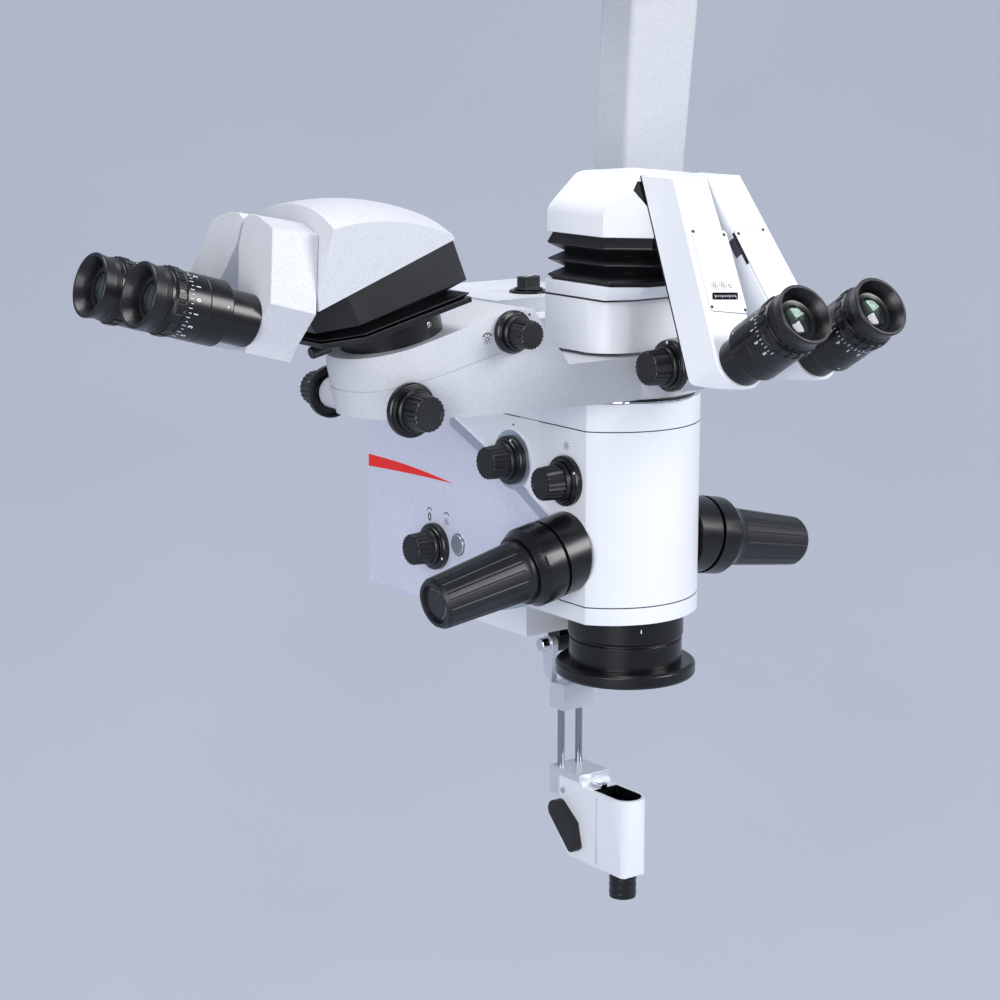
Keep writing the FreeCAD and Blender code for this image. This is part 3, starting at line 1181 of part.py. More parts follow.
def viewer_body():
    """Narrow body with a round nose, a light well from its top and a tapered foot."""
    h = VIEW_BODY_HALF
    nose = VIEW_NOSE_Y
    plan = [(-h, VIEW_BODY_REAR), (-h, nose), (0, nose - h, h, nose), (h, VIEW_BODY_REAR)]
    body = slab(plan, lift_xy, VIEW_BODY_BOTTOM, VIEW_BODY_TOP)
    top = PLATE_BOTTOM
    step = slab([(-h, VIEW_BODY_REAR), (-h, 36), (h, 36), (h, VIEW_BODY_REAR)], lift_xy, VIEW_BODY_TOP, top)
    body = body.fuse(step)
    side = [(VIEW_BODY_REAR, top), (VIEW_BODY_REAR, -515), (56, VIEW_BODY_BOTTOM), (nose - h + 4, VIEW_BODY_BOTTOM),
            (nose - h, VIEW_TAPER_Z), (nose - h, top)]
    body = body.common(slab(side, lift_yz, -h, h))
    taper = [(-h, VIEW_TAPER_Z), (-h, VIEW_BODY_TOP + 10), (h, VIEW_BODY_TOP + 10), (h, VIEW_TAPER_Z),
             (h - 2.5, VIEW_BODY_BOTTOM), (-h + 2.5, VIEW_BODY_BOTTOM)]
    body = body.common(slab(taper, lift_xz, nose - h, VIEW_BODY_REAR))
    well = h - 3
    hole = [(-well, 24), (-well, nose), (0, nose - well, well, nose), (well, 24)]
    body = body.cut(slab(hole, lift_xy, VIEW_BODY_TOP - 30, VIEW_BODY_TOP))
    body = body.cut(rod(V(0, 0, VIEW_BODY_BOTTOM), Z_AXIS, VIEW_BORE_R, VIEW_BODY_TOP - VIEW_BODY_BOTTOM))
    return body.cut(rod(V(-HALF, LEVER_Y, LEVER_Z), X_AXIS, 3 + FIT, HALF))


def viewer_lens_barrel():
    low = VIEW_LENS_END
    return turned([(VIEW_BORE_R, low), (VIEW_LENS_R, low), (VIEW_LENS_R, VIEW_BODY_BOTTOM), (VIEW_BORE_R, VIEW_BODY_BOTTOM)])


def viewer_lever():
    """Black switching lever on the side of the viewing attachment."""
    face = -VIEW_BODY_HALF - GAP
    steps = [(LEVER_Y + 2, LEVER_Z + 11), (LEVER_Y + 12, LEVER_Z + 9, LEVER_Y + 13, LEVER_Z - 1),
             (LEVER_Y - 12, LEVER_Z - 26), (LEVER_Y - 18, LEVER_Z - 27, LEVER_Y - 21, LEVER_Z - 21),
             (LEVER_Y - 17, LEVER_Z - 3)]
    lever = slab(steps, lift_yz, face - 8, face)
    return lever.fuse(rod(V(face - 1, LEVER_Y, LEVER_Z), X_AXIS, 3, 12))


def build():
    """All pieces by node name."""
    parts = {"mount_flange": mount_flange(), "suspension_column": suspension_column(), "tilt_shaft": tilt_shaft()}
    for make in (rear_housing, side_covers, body_shell, top_cap, gap_ring, objective_housing, objective_lens,
                 splash_ring, zoom_changer, upper_block, beam_splitter_prism, tube_base_plate, surgeon_bellows,
                 surgeon_hood, assistant_arm, assistant_arm_cover, clamp_ring, clamp_screw, assistant_tube_base,
                 assistant_bellows, assistant_hood, knob_flanges, arm_knob_flanges, push_button, grip_flanges,
                 zoom_knob, side_focus_knobs, wing_knob, viewer_bracket, viewer_hanger, viewer_thumbscrew,
                 viewer_carriage, viewer_body, viewer_lens_barrel, viewer_lever):
        parts[make.__name__] = make()
    parts["focus_knob"] = aimed(knob_cap(), FOCUS_SEAT, -X_AXIS)
    parts["brightness_knob"] = aimed(knob_cap(), BRIGHTNESS_SEAT, -X_AXIS)
    parts["collar_clamp_knob"] = aimed(knob_cap(), COLLAR_KNOB_SEAT, -X_AXIS)
    parts["beam_selector_knob"] = aimed(knob_cap(SMALL_KNOB), SELECTOR_SEAT, -Y_AXIS)
    for side, name in ((-1, "left"), (1, "right")):
        parts["hand_grip_" + name] = hand_grip(side)
        parts["surgeon_arm_" + name] = surgeon_arm(side)
        trio = eyepiece(eye_root(side), ARM_OUT, SURGEON_TUBE)
        for piece, shape in zip(("eye_tube", "eyecup", "eye_lens"), trio):
            parts["surgeon_" + piece + "_" + name] = shape
    for side, name in ((-1, "near"), (1, "far")):
        parts["assistant_swing_arm_" + name] = assistant_swing_arm(side)
        trio = eyepiece(a_eye_root(side), A_EYE_WAY, ASSISTANT_TUBE)
        for piece, shape in zip(("eye_tube", "eyecup", "eye_lens"), trio):
            parts["assistant_" + piece + "_" + name] = shape
    return parts


shift = V(-COLUMN_X, -FLANGE_Y, -FLANGE_TOP)
os.makedirs("parts", exist_ok=True)
parts = build()
for name, shape in parts.items():
    moved = shape.copy()
    moved.translate(shift)
    if not moved.isValid():
        print("not valid:", name)
    moved.exportStep("parts/" + name + ".step")
print(len(parts), "parts, optical axis at", round(shift.x, 2), round(shift.y, 2), round(shift.z, 2))
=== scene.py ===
import json
import math

import bmesh
import bpy
from mathutils import Matrix, Vector

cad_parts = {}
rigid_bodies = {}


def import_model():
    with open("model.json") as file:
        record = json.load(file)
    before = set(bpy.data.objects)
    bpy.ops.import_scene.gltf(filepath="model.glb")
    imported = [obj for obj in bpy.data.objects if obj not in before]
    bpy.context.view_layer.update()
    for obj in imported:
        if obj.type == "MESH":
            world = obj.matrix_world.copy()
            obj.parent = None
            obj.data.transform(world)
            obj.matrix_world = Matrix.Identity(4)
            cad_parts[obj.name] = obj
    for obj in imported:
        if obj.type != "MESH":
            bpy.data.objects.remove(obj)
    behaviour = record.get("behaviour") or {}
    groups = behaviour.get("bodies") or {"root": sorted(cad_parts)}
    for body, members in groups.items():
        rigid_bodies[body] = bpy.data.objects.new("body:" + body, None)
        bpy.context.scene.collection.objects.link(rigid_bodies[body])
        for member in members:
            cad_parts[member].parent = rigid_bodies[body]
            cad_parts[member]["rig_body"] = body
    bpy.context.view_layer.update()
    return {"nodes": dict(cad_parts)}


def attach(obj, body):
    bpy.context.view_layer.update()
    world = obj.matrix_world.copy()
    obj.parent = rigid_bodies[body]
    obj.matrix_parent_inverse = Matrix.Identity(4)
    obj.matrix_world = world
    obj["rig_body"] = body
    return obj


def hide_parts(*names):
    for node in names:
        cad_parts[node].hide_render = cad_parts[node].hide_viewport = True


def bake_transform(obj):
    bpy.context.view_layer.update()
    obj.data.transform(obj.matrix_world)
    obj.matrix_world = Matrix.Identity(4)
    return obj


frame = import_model()


# Studio. Seamless pale blue-grey paper hangs behind and runs below the microscope, which hangs from
# its column. A large soft lamp stands on the surgeon's side, a weak one on the assistant's side and
# one above. The camera looks from the assistant's front, a little above the eyepieces.
CAMERA_AZIMUTH = math.radians(-36.51)
CAMERA_RISE = math.radians(11.72)
CAMERA_AWAY = 2.0458
CAMERA_AIM = Vector((-0.108, 0.06406, -0.45656))
CAMERA_LENS = 85.93
FLOOR_Z = -1.6
BACKDROP_DEPTH = 7.2
BACKDROP_WIDTH = 16.0
BACKDROP_HEIGHT = 7.0
BACKDROP_BEND = 2.2
HEAD_MIDDLE = Vector((-0.15, 0.0, -0.4))


def linear(hex_colour):
    """A colour written as sRGB hex, as the linear light that a shader takes."""
    parts = [int(hex_colour[i:i + 2], 16) / 255 for i in (1, 3, 5)]
    return [c / 12.92 if c <= 0.04045 else ((c + 0.055) / 1.055) ** 2.4 for c in parts] + [1.0]


def add(tree, kind, inputs=None, **settings):
    """Adds one node, sets its properties and fills its inputs with values or links."""
    made = tree.nodes.new("ShaderNode" + kind)
    for key, value in settings.items():
        setattr(made, key, value)
    for key, value in (inputs or {}).items():
        if isinstance(value, bpy.types.NodeSocket):
            tree.links.new(value, made.inputs[key])
        else:
            made.inputs[key].default_value = value
    return made


def new_finish(name):
    """An empty material and the Object coordinates that its patterns follow."""
    made = bpy.data.materials.new(name)
    made.use_nodes = True
    made.node_tree.nodes.clear()
    return made, made.node_tree, add(made.node_tree, "TexCoord").outputs["Object"]


def pick_only(piece):
    """Deselects everything and makes one piece the active one."""
    if bpy.context.object and bpy.context.object.mode != "OBJECT":
        bpy.ops.object.mode_set(mode="OBJECT")
    bpy.ops.object.select_all(action="DESELECT")
    piece.select_set(True)
    bpy.context.view_layer.objects.active = piece


def studio_paper():
    """Matt paper with faint fibres. It glows a little for the camera and for reflections, so that it
    keeps its pale tone without more light on the microscope."""
    paper, tree, place = new_finish("pale_studio_paper")
    fibres = add(tree, "TexNoise", {"Vector": place, "Scale": 1.2, "Detail": 4.0})
    tone = add(tree, "Mix", {"Factor": fibres.outputs["Fac"], "A": linear("#b7becf"), "B": linear("#c3c9d7")},
               data_type="RGBA")
    matt = add(tree, "BsdfDiffuse", {"Color": tone.outputs["Result"], "Roughness": 0.9})
    glow = add(tree, "Emission", {"Color": tone.outputs["Result"], "Strength": 1.0})
    path = add(tree, "LightPath")
    seen = add(tree, "Math", {0: path.outputs["Is Camera Ray"], 1: path.outputs["Is Glossy Ray"]},
               operation="MAXIMUM")
    through = add(tree, "Math", {0: seen.outputs["Value"], 1: path.outputs["Is Transmission Ray"]},
                  operation="MAXIMUM")
    share = add(tree, "Math", {0: through.outputs["Value"], 1: 0.65}, operation="MULTIPLY")
    both = add(tree, "MixShader", {0: share.outputs["Value"], 1: matt.outputs["BSDF"], 2: glow.outputs["Emission"]})
    add(tree, "OutputMaterial", {"Surface": both.outputs["Shader"]})
    return paper


bpy.ops.object.select_all(action="DESELECT")
bpy.ops.mesh.primitive_plane_add(size=1.0, location=(0, 0, 0))
sweep = bpy.context.object
sweep.name = "studio_sweep"
bpy.ops.transform.resize(value=(BACKDROP_WIDTH, BACKDROP_DEPTH, 1))
bpy.ops.object.transform_apply(location=False, rotation=False, scale=True)
for part in (sweep.data.polygons, sweep.data.edges, sweep.data.vertices):
    for item in part:
        item.select = False
for edge in sweep.data.edges:
    edge.select = all(sweep.data.vertices[i].co.y > 0 for i in edge.vertices)
bpy.ops.object.mode_set(mode="EDIT")
bpy.ops.mesh.select_mode(type="EDGE")
bpy.ops.mesh.extrude_region_move(TRANSFORM_OT_translate={"value": (0, 0, BACKDROP_HEIGHT)})
bpy.ops.object.mode_set(mode="OBJECT")
bend = sweep.modifiers.new("bend", "BEVEL")
bend.width = BACKDROP_BEND
bend.segments = 24
bend.limit_method = "ANGLE"
bpy.ops.object.modifier_apply(modifier="bend")
bpy.ops.object.shade_smooth()
sweep.data.materials.append(studio_paper())
sweep.rotation_euler = (0, 0, CAMERA_AZIMUTH)
sweep.location = Vector((-0.1, 0.0, FLOOR_Z))

back = Vector((math.sin(CAMERA_AZIMUTH) * math.cos(CAMERA_RISE),
               -math.cos(CAMERA_AZIMUTH) * math.cos(CAMERA_RISE), math.sin(CAMERA_RISE)))
camera = bpy.data.objects.new("camera", bpy.data.cameras.new("camera"))
bpy.context.scene.collection.objects.link(camera)
camera.data.sensor_width = 36.0
camera.data.lens = CAMERA_LENS
camera.data.clip_start = 0.05
camera.data.clip_end = 60.0
camera.location = CAMERA_AIM + back * CAMERA_AWAY
camera.rotation_euler = (-back).to_track_quat("-Z", "Y").to_euler()
bpy.context.scene.camera = camera


def soft_lamp(name, place, width, height, watts):
    lamp = bpy.data.objects.new(name, bpy.data.lights.new(name, "AREA"))
    bpy.context.scene.collection.objects.link(lamp)
    lamp.data.shape = "RECTANGLE"
    lamp.data.size = width
    lamp.data.size_y = height
    lamp.data.energy = watts
    lamp.location = place
    lamp.rotation_euler = (HEAD_MIDDLE - Vector(place)).to_track_quat("-Z", "Y").to_euler()


soft_lamp("key_lamp", (1.5, -2.4, 0.9), 1.5, 1.3, 74)
soft_lamp("fill_lamp", (-2.3, -1.5, 0.0), 1.6, 1.6, 44)
soft_lamp("top_lamp", (-0.3, 0.2, 2.0), 1.6, 1.6, 48)
world = bpy.data.worlds.new("soft_room")
bpy.context.scene.world = world
world.use_nodes = True
world.node_tree.nodes["Background"].inputs["Color"].default_value = linear("#bcc5d8")
world.node_tree.nodes["Background"].inputs["Strength"].default_value = 0.5
bpy.context.scene.view_settings.view_transform = "Standard"


# Suspension. A cast aluminium column with textured grey lacquer hangs from a turned steel flange, and
# a steel cross shaft at its foot carries the whole head. The flange is bolted to a stand or ceiling arm.
AXIS_PLACE = Vector((108.0, 106.239, 214.0))    # flange centre from the optical axis at the tube base, mm


def at(x, y, z):
    """A place given in millimetres from the optical axis, in the frame's metres."""
    return (Vector((x, y, z)) - AXIS_PLACE) / 1000


def loose_copy(thing, name):
    """A copy with its own mesh, which rides on nothing yet."""
    piece = thing.copy()
    piece.data = thing.data.copy()
    for key in list(piece.keys()):
        del piece[key]
    piece.name = name
    piece.parent = None
    bpy.context.scene.collection.objects.link(piece)
    return piece


def round_edges(piece, width_mm, steps, crease=None, chosen=None):
    """Rounds the edges sharper than an angle, or those whose two ends, in millimetres, pass a test."""
    edge = piece.modifiers.new("rounded_edges", "BEVEL")
    edge.width = width_mm / 1000
    edge.segments = steps
    if chosen:
        weights = piece.data.attributes.new("bevel_weight_edge", "FLOAT", "EDGE")
        ends = [v.co * 1000 + AXIS_PLACE for v in piece.data.vertices]
        for line in piece.data.edges:
            a, b = (ends[i] for i in line.vertices)
            weights.data[line.index].value = float(chosen(a, b))
        edge.limit_method = "WEIGHT"
    else:
        edge.limit_method = "ANGLE"
        edge.angle_limit = math.radians(crease)
    pick_only(piece)
    bpy.ops.object.modifier_apply(modifier="rounded_edges")
    if chosen:
        piece.data.attributes.remove(piece.data.attributes["bevel_weight_edge"])


def smooth(piece, angle):
    """Shades a piece smooth up to an angle, with its large flats kept flat."""
    pick_only(piece)
    bpy.ops.object.shade_smooth_by_angle(angle=math.radians(angle))
    level = piece.modifiers.new("level_flats", "WEIGHTED_NORMAL")
    level.keep_sharp = True
    bpy.ops.object.modifier_apply(modifier="level_flats")


def coated(node, finish, round_mm=0.0, crease=32, big=None):
    """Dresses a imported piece: a merged copy with its edges rounded stands for the bare node."""
    piece = loose_copy(frame["nodes"][node], node + "_coated")
    pick_only(piece)
    bpy.ops.mesh.customdata_custom_splitnormals_clear()
    bpy.ops.object.mode_set(mode="EDIT")
    bpy.ops.mesh.select_all(action="SELECT")
    bpy.ops.mesh.remove_doubles(threshold=2e-6)
    bpy.ops.mesh.dissolve_limited(angle_limit=math.radians(0.6))
    bpy.ops.object.mode_set(mode="OBJECT")
    if big:
        round_edges(piece, big[0], 5, chosen=big[1])
    if round_mm:
        round_edges(piece, round_mm, 3, crease=crease)
    smooth(piece, crease + 6)
    piece.data.materials.clear()
    piece.data.materials.append(finish)
    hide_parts(node)
    return piece


def dress(node, finish, round_mm=0.0, crease=32, big=None):
    """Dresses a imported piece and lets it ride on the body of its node."""
    piece = coated(node, finish, round_mm, crease, big)
    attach(piece, frame["nodes"][node]["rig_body"])
    return piece


def turned_metal(name, colour, roughness, groove_mm):
    """Bright metal with fine turning marks, which stretch and break up its highlights."""
    made, tree, place = new_finish(name)
    wear = add(tree, "TexNoise", {"Vector": place, "Scale": 1000 / groove_mm, "Detail": 4.0})
    gloss = add(tree, "MapRange", {"Value": wear.outputs["Fac"], "To Min": roughness * 0.7,
                                   "To Max": roughness * 1.4})
    shader = add(tree, "BsdfPrincipled", {"Base Color": linear(colour), "Metallic": 1.0,
                                          "Roughness": gloss.outputs["Result"]})
    add(tree, "OutputMaterial", {"Surface": shader.outputs["BSDF"]})
    return made


def speckled_lacquer(name, ground, light, dark, grain_mm):
    """Textured spray coat: fine lighter and darker specks and a dry, finely pitted surface. The real
    specks are about 0.3 mm, and are drawn coarser so that they show."""
    made, tree, place = new_finish(name)
    fine = add(tree, "TexNoise", {"Vector": place, "Scale": 1000 / grain_mm, "Detail": 2.0})
    coarse = add(tree, "TexNoise", {"Vector": place, "Scale": 550 / grain_mm, "Detail": 2.0})
    lit = add(tree, "MapRange", {"Value": fine.outputs["Fac"], "From Min": 0.5, "From Max": 0.7})
    first = add(tree, "Mix", {"Factor": lit.outputs["Result"], "A": linear(ground), "B": linear(light)},
                data_type="RGBA")
    dim = add(tree, "MapRange", {"Value": coarse.outputs["Fac"], "From Min": 0.5, "From Max": 0.75})
    tone = add(tree, "Mix", {"Factor": dim.outputs["Result"], "A": first.outputs["Result"], "B": linear(dark)},
               data_type="RGBA")
    bump = add(tree, "Bump", {"Height": fine.outputs["Fac"], "Strength": 0.25, "Distance": 0.0002})
    shader = add(tree, "BsdfPrincipled", {"Base Color": tone.outputs["Result"], "Roughness": 0.46,
                                          "Normal": bump.outputs["Normal"]})
    add(tree, "OutputMaterial", {"Surface": shader.outputs["BSDF"]})
    return made


turned_steel = turned_metal("turned_steel", "#b9bbc0", 0.28, 1.2)
grey_speckle = speckled_lacquer("light_grey_textured_lacquer", "#c6c8ce", "#dadce1", "#b4b7be", 0.55)
dress("mount_flange", turned_steel, 0.8)
dress("suspension_column", grey_speckle, 1.5)
dress("tilt_shaft", turned_steel, 0.5)


# Housing, body and cap of the head. They are aluminium castings, machined where they meet, filled and
# sprayed with white satin lacquer. Dark parting lines run round them. A ring with a polished lower edge
# sits in the gap under the collar of the side arm; its black upper part is painted shade of that recess.
BODY_SEAM_Z = -290.0
CAP_SEAM_Z = -150.0
SEAM_HALF = 0.45
RING_EDGE_Z = -126.5


def satin_lacquer(name, colour, shade, peel_mm):
    """Sprayed two-pack lacquer: an even colour, a soft gloss and a faint orange peel that shows only
    in the highlights."""
    made, tree, place = new_finish(name)
    cloud = add(tree, "TexNoise", {"Vector": place, "Scale": 9.0, "Detail": 3.0})
    tone = add(tree, "Mix", {"Factor": cloud.outputs["Fac"], "A": linear(colour), "B": linear(shade)},
               data_type="RGBA")
    peel = add(tree, "TexNoise", {"Vector": place, "Scale": 1000 / peel_mm, "Detail": 2.0, "Roughness": 0.4})
    bump = add(tree, "Bump", {"Height": peel.outputs["Fac"], "Strength": 0.1, "Distance": 0.0002})
    gloss = add(tree, "MapRange", {"Value": cloud.outputs["Fac"], "To Min": 0.33, "To Max": 0.45})
    shader = add(tree, "BsdfPrincipled", {"Base Color": tone.outputs["Result"],
                                          "Roughness": gloss.outputs["Result"],
                                          "Normal": bump.outputs["Normal"], "Coat Weight": 0.2,
                                          "Coat Roughness": 0.22})
    add(tree, "OutputMaterial", {"Surface": shader.outputs["BSDF"]})
    return made


def dark_finish(name, colour, worn, sheen, grain_mm, depth_mm):
    """Black surface: fine grain, a little paler where it is dusty or handled, with an uneven sheen."""
    made, tree, place = new_finish(name)
    grain = add(tree, "TexNoise", {"Vector": place, "Scale": 1000 / grain_mm, "Detail": 3.0})
    dust = add(tree, "TexNoise", {"Vector": place, "Scale": 25.0, "Detail": 5.0})
    tone = add(tree, "MapRange", {"Value": dust.outputs["Fac"], "From Min": 0.4, "From Max": 0.8})
    shade = add(tree, "Mix", {"Factor": tone.outputs["Result"], "A": linear(colour), "B": linear(worn)},
                data_type="RGBA")
    bump = add(tree, "Bump", {"Height": grain.outputs["Fac"], "Strength": 0.25, "Distance": depth_mm / 1000})
    gloss = add(tree, "MapRange", {"Value": dust.outputs["Fac"], "To Min": sheen - 0.05, "To Max": sheen + 0.08})
    shader = add(tree, "BsdfPrincipled", {"Base Color": shade.outputs["Result"],
                                          "Roughness": gloss.outputs["Result"],
                                          "Normal": bump.outputs["Normal"]})
    add(tree, "OutputMaterial", {"Surface": shader.outputs["BSDF"]})
    return made


def repaint(piece, finish, chosen):
    """Gives a second finish to the faces whose middle, in millimetres, and normal pass a test."""
    piece.data.materials.append(finish)
    for face in piece.data.polygons:
        if chosen(face.center * 1000 + AXIS_PLACE, face.normal):
            face.material_index = len(piece.data.materials) - 1


def paint_edge(piece, point, normal):
    """Cuts an edge right through a piece's mesh, for a change of finish along it."""
    pick_only(piece)
    bpy.ops.object.mode_set(mode="EDIT")
    bpy.ops.mesh.select_all(action="SELECT")
    bpy.ops.mesh.bisect(plane_co=point, plane_no=normal)
    bpy.ops.object.mode_set(mode="OBJECT")


white_lacquer = satin_lacquer("white_satin_lacquer", "#eef0f4", "#e7eaef", 2.4)
black_enamel = dark_finish("black_satin_enamel", "#08090b", "#121317", 0.26, 1.5, 0.08)
# Dark grey for the castings' parting lines and the viewer's body seam; the same finish on the thin sheet under each arm
# cover plate is painted shade of the gap round the plate.
seam_dark_and_gap_shade = dark_finish("dark_seam_filler_and_gap_shade", "#34363c", "#3f4148", 0.5, 1.0, 0.05)
rear_housing = dress("rear_housing", white_lacquer, 1.6)
body_shell = dress("body_shell", white_lacquer, 0.5)
top_cap = dress("top_cap", white_lacquer, 0.5)
repaint(body_shell, seam_dark_and_gap_shade, lambda p, n: abs(p.z - BODY_SEAM_Z) < SEAM_HALF)
for casting in (rear_housing, body_shell, top_cap):
    repaint(casting, seam_dark_and_gap_shade, lambda p, n: abs(p.z - CAP_SEAM_Z) < SEAM_HALF)
# The ring's black is painted shade of the recess under the collar; its lower edge is polished metal.
gap_ring = dress("gap_ring", black_enamel, 0.3)
polished_chrome = turned_metal("polished_chrome", "#dfe2e6", 0.09, 6.0)
paint_edge(gap_ring, at(0, 0, RING_EDGE_Z), (0, 0, 1))
repaint(gap_ring, polished_chrome, lambda p, n: p.z < RING_EDGE_Z)


# Silver side covers, pressed from sheet aluminium and sprayed with metallic lacquer. The one on the
# controls' side has a brighter raised trim along its front edge and round the focus knob, a red
# printed wedge, an illumination button in a polished ring, and printed marks beside its knobs.
COVER_X = -59.0
TRIM_X = -59.2           # all in front of this is the raised trim
COVER_BACK = 286.0        # past these the housing's own edge is silver too
COVER_LOW = -326.0
COVER_LOW_FRONT = 186.0
WEDGE_BACK = 284.3
WEDGE_TIP = (156.0, -219.0)
WEDGE_TOP_Z = -212.6
WEDGE_LOW_Z = -223.4
WEDGE_STEPS = 24
BUTTON_AT = (-59.0, 149.0, -270.0)
BUTTON_RING_R = 9.3
PRINT_MM = 0.12          # thickness that the print is drawn with


def metallic_lacquer(name, dull, bright, metal, roughness):
    """Metallic coat: aluminium flakes under clear lacquer, which gives a lavender-grey shimmer. The
    flakes are drawn about ten times their real 0.05 mm, so that they show."""
    made, tree, place = new_finish(name)
    flakes = add(tree, "TexNoise", {"Vector": place, "Scale": 1500.0, "Detail": 2.0})
    sparkle = add(tree, "MapRange", {"Value": flakes.outputs["Fac"], "From Min": 0.3, "From Max": 0.7})
    tone = add(tree, "Mix", {"Factor": sparkle.outputs["Result"], "A": linear(dull), "B": linear(bright)},
               data_type="RGBA")
    shader = add(tree, "BsdfPrincipled", {"Base Color": tone.outputs["Result"], "Metallic": metal,
                                          "Roughness": roughness, "Coat Weight": 0.25, "Coat Roughness": 0.25})
    add(tree, "OutputMaterial", {"Surface": shader.outputs["BSDF"]})
    return made


def printed_ink(name, colour):
    """Screen-printed ink: flat and opaque, a little duller where it is thin."""
    made, tree, place = new_finish(name)
    film = add(tree, "TexNoise", {"Vector": place, "Scale": 400.0, "Detail": 2.0})
    gloss = add(tree, "MapRange", {"Value": film.outputs["Fac"], "To Min": 0.4, "To Max": 0.6})
    shader = add(tree, "BsdfPrincipled", {"Base Color": linear(colour), "Roughness": gloss.outputs["Result"]})
    add(tree, "OutputMaterial", {"Surface": shader.outputs["BSDF"]})
    return made


def place_piece(piece, origin, out, across):
    """Moves a piece that was modelled in millimetres about its own origin to its place in the frame.
    Its Z points out of the surface and its X lies across."""
    z = Vector(out).normalized()
    x = (Vector(across) - z * Vector(across).dot(z)).normalized()
    turn = Matrix((x, z.cross(x), z)).transposed().to_4x4()
    piece.matrix_basis = Matrix.Translation(at(*origin)) @ turn @ Matrix.Scale(0.001, 4) @ piece.matrix_basis
    pick_only(piece)
    bpy.ops.object.transform_apply(location=True, rotation=True, scale=True)


def fit(piece, name, finish, body):
    """Names a finished piece, coats it and fixes it to a body."""
    piece.name = name
    piece.data.materials.clear()
    piece.data.materials.append(finish)
    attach(piece, body)


def new_piece(primitive, **sizes):
    """Starts a piece from a primitive, with nothing else selected."""
    if bpy.context.object and bpy.context.object.mode != "OBJECT":
        bpy.ops.object.mode_set(mode="OBJECT")
    bpy.ops.object.select_all(action="DESELECT")
    getattr(bpy.ops.mesh, "primitive_" + primitive + "_add")(**sizes)
    return bpy.context.object


def shape_by(piece, kind, **settings):
    """Adds one modifier and applies it."""
    tool = piece.modifiers.new("shaping", kind)
    for key, value in settings.items():
        setattr(tool, key, value)
    pick_only(piece)
    bpy.ops.object.modifier_apply(modifier="shaping")
    return piece


def joined(pieces):
    """Several pieces as one."""
    bpy.ops.object.select_all(action="DESELECT")
    for piece in pieces:
        piece.select_set(True)
    bpy.context.view_layer.objects.active = pieces[0]
    bpy.ops.object.join()
    return bpy.context.object


def ring_of(piece, count, turn=360.0):
    """Copies a piece round its own Z axis, inside its mesh."""
    pick_only(piece)
    bpy.ops.object.transform_apply(location=True, rotation=True, scale=True)
    bpy.ops.object.mode_set(mode="EDIT")
    bpy.ops.mesh.select_all(action="SELECT")
    step = math.radians(turn) / count
    bpy.ops.mesh.spin(steps=count - 1, dupli=True, angle=step * (count - 1), center=(0, 0, 0), axis=(0, 0, 1))
    bpy.ops.object.mode_set(mode="OBJECT")
    return piece


def numeral(text, size_mm):
    """A figure as a thin mesh, centred on its origin."""
    bpy.ops.object.select_all(action="DESELECT")
    bpy.ops.object.text_add()
    figure = bpy.context.object
    figure.data.body = text
    figure.data.size = size_mm
    figure.data.extrude = PRINT_MM / 2
    figure.data.offset = size_mm * 0.02
    figure.data.align_x = "CENTER"
    figure.data.align_y = "CENTER"
    figure.data.resolution_u = 3
    bpy.ops.object.convert(target="MESH")
    return bpy.context.object


def turn_arrow(radius, mirror):
    """Part of a circle with an arrowhead, which shows the way to turn a knob."""
    arc = new_piece("torus", major_radius=radius, minor_radius=0.5, major_segments=40, minor_segments=6)
    bpy.ops.object.mode_set(mode="EDIT")
    bpy.ops.mesh.select_all(action="SELECT")
    bpy.ops.mesh.bisect(plane_co=(0, radius * 0.5, 0), plane_no=(0, -1, 0), clear_outer=True, use_fill=True)
    bpy.ops.object.mode_set(mode="OBJECT")
    head = new_piece("cone", vertices=3, radius1=1.5, depth=PRINT_MM * 4,
                     location=(mirror * radius * 0.86, radius * 0.45, 0))
    mark = joined([arc, head])
    bpy.ops.object.transform_apply(location=True, rotation=True, scale=True)
    mark.scale = (1, 1, 0.25)
    return mark


def lamp_mark():
    """Circle with rays."""
    circle = new_piece("torus", major_radius=1.3, minor_radius=0.35, major_segments=24, minor_segments=6)
    ray = new_piece("cube", size=1.0, location=(3.0, 0, 0), scale=(1.5, 0.6, 0.4))
    rays = ring_of(ray, 8)
    mark = joined([circle, rays])
    mark.scale = (1, 1, 0.3)
    return mark


silver_lacquer = metallic_lacquer("silver_metallic_lacquer", "#c6c9dc", "#e6e8f5", 0.15, 0.42)
trim_lacquer = metallic_lacquer("bright_silver_trim_lacquer", "#b4bcc9", "#c6ccd8", 0.7, 0.26)
red_ink = printed_ink("red_screen_print", "#f0251f")
dark_ink = printed_ink("dark_grey_screen_print", "#24252a")
side_covers = dress("side_covers", silver_lacquer, 0.35)
repaint(side_covers, trim_lacquer, lambda p, n: p.x < TRIM_X)
for spot, way in (((0, COVER_BACK, 0), (0, 1, 0)), ((0, 0, COVER_LOW), (0, 0, 1)), ((0, COVER_LOW_FRONT, 0), (0, 1, 0))):
    paint_edge(rear_housing, at(*spot), way)
repaint(rear_housing, silver_lacquer, lambda p, n: n.x < -0.3
        and (p.y > COVER_BACK or p.z < COVER_LOW and p.y > COVER_LOW_FRONT))

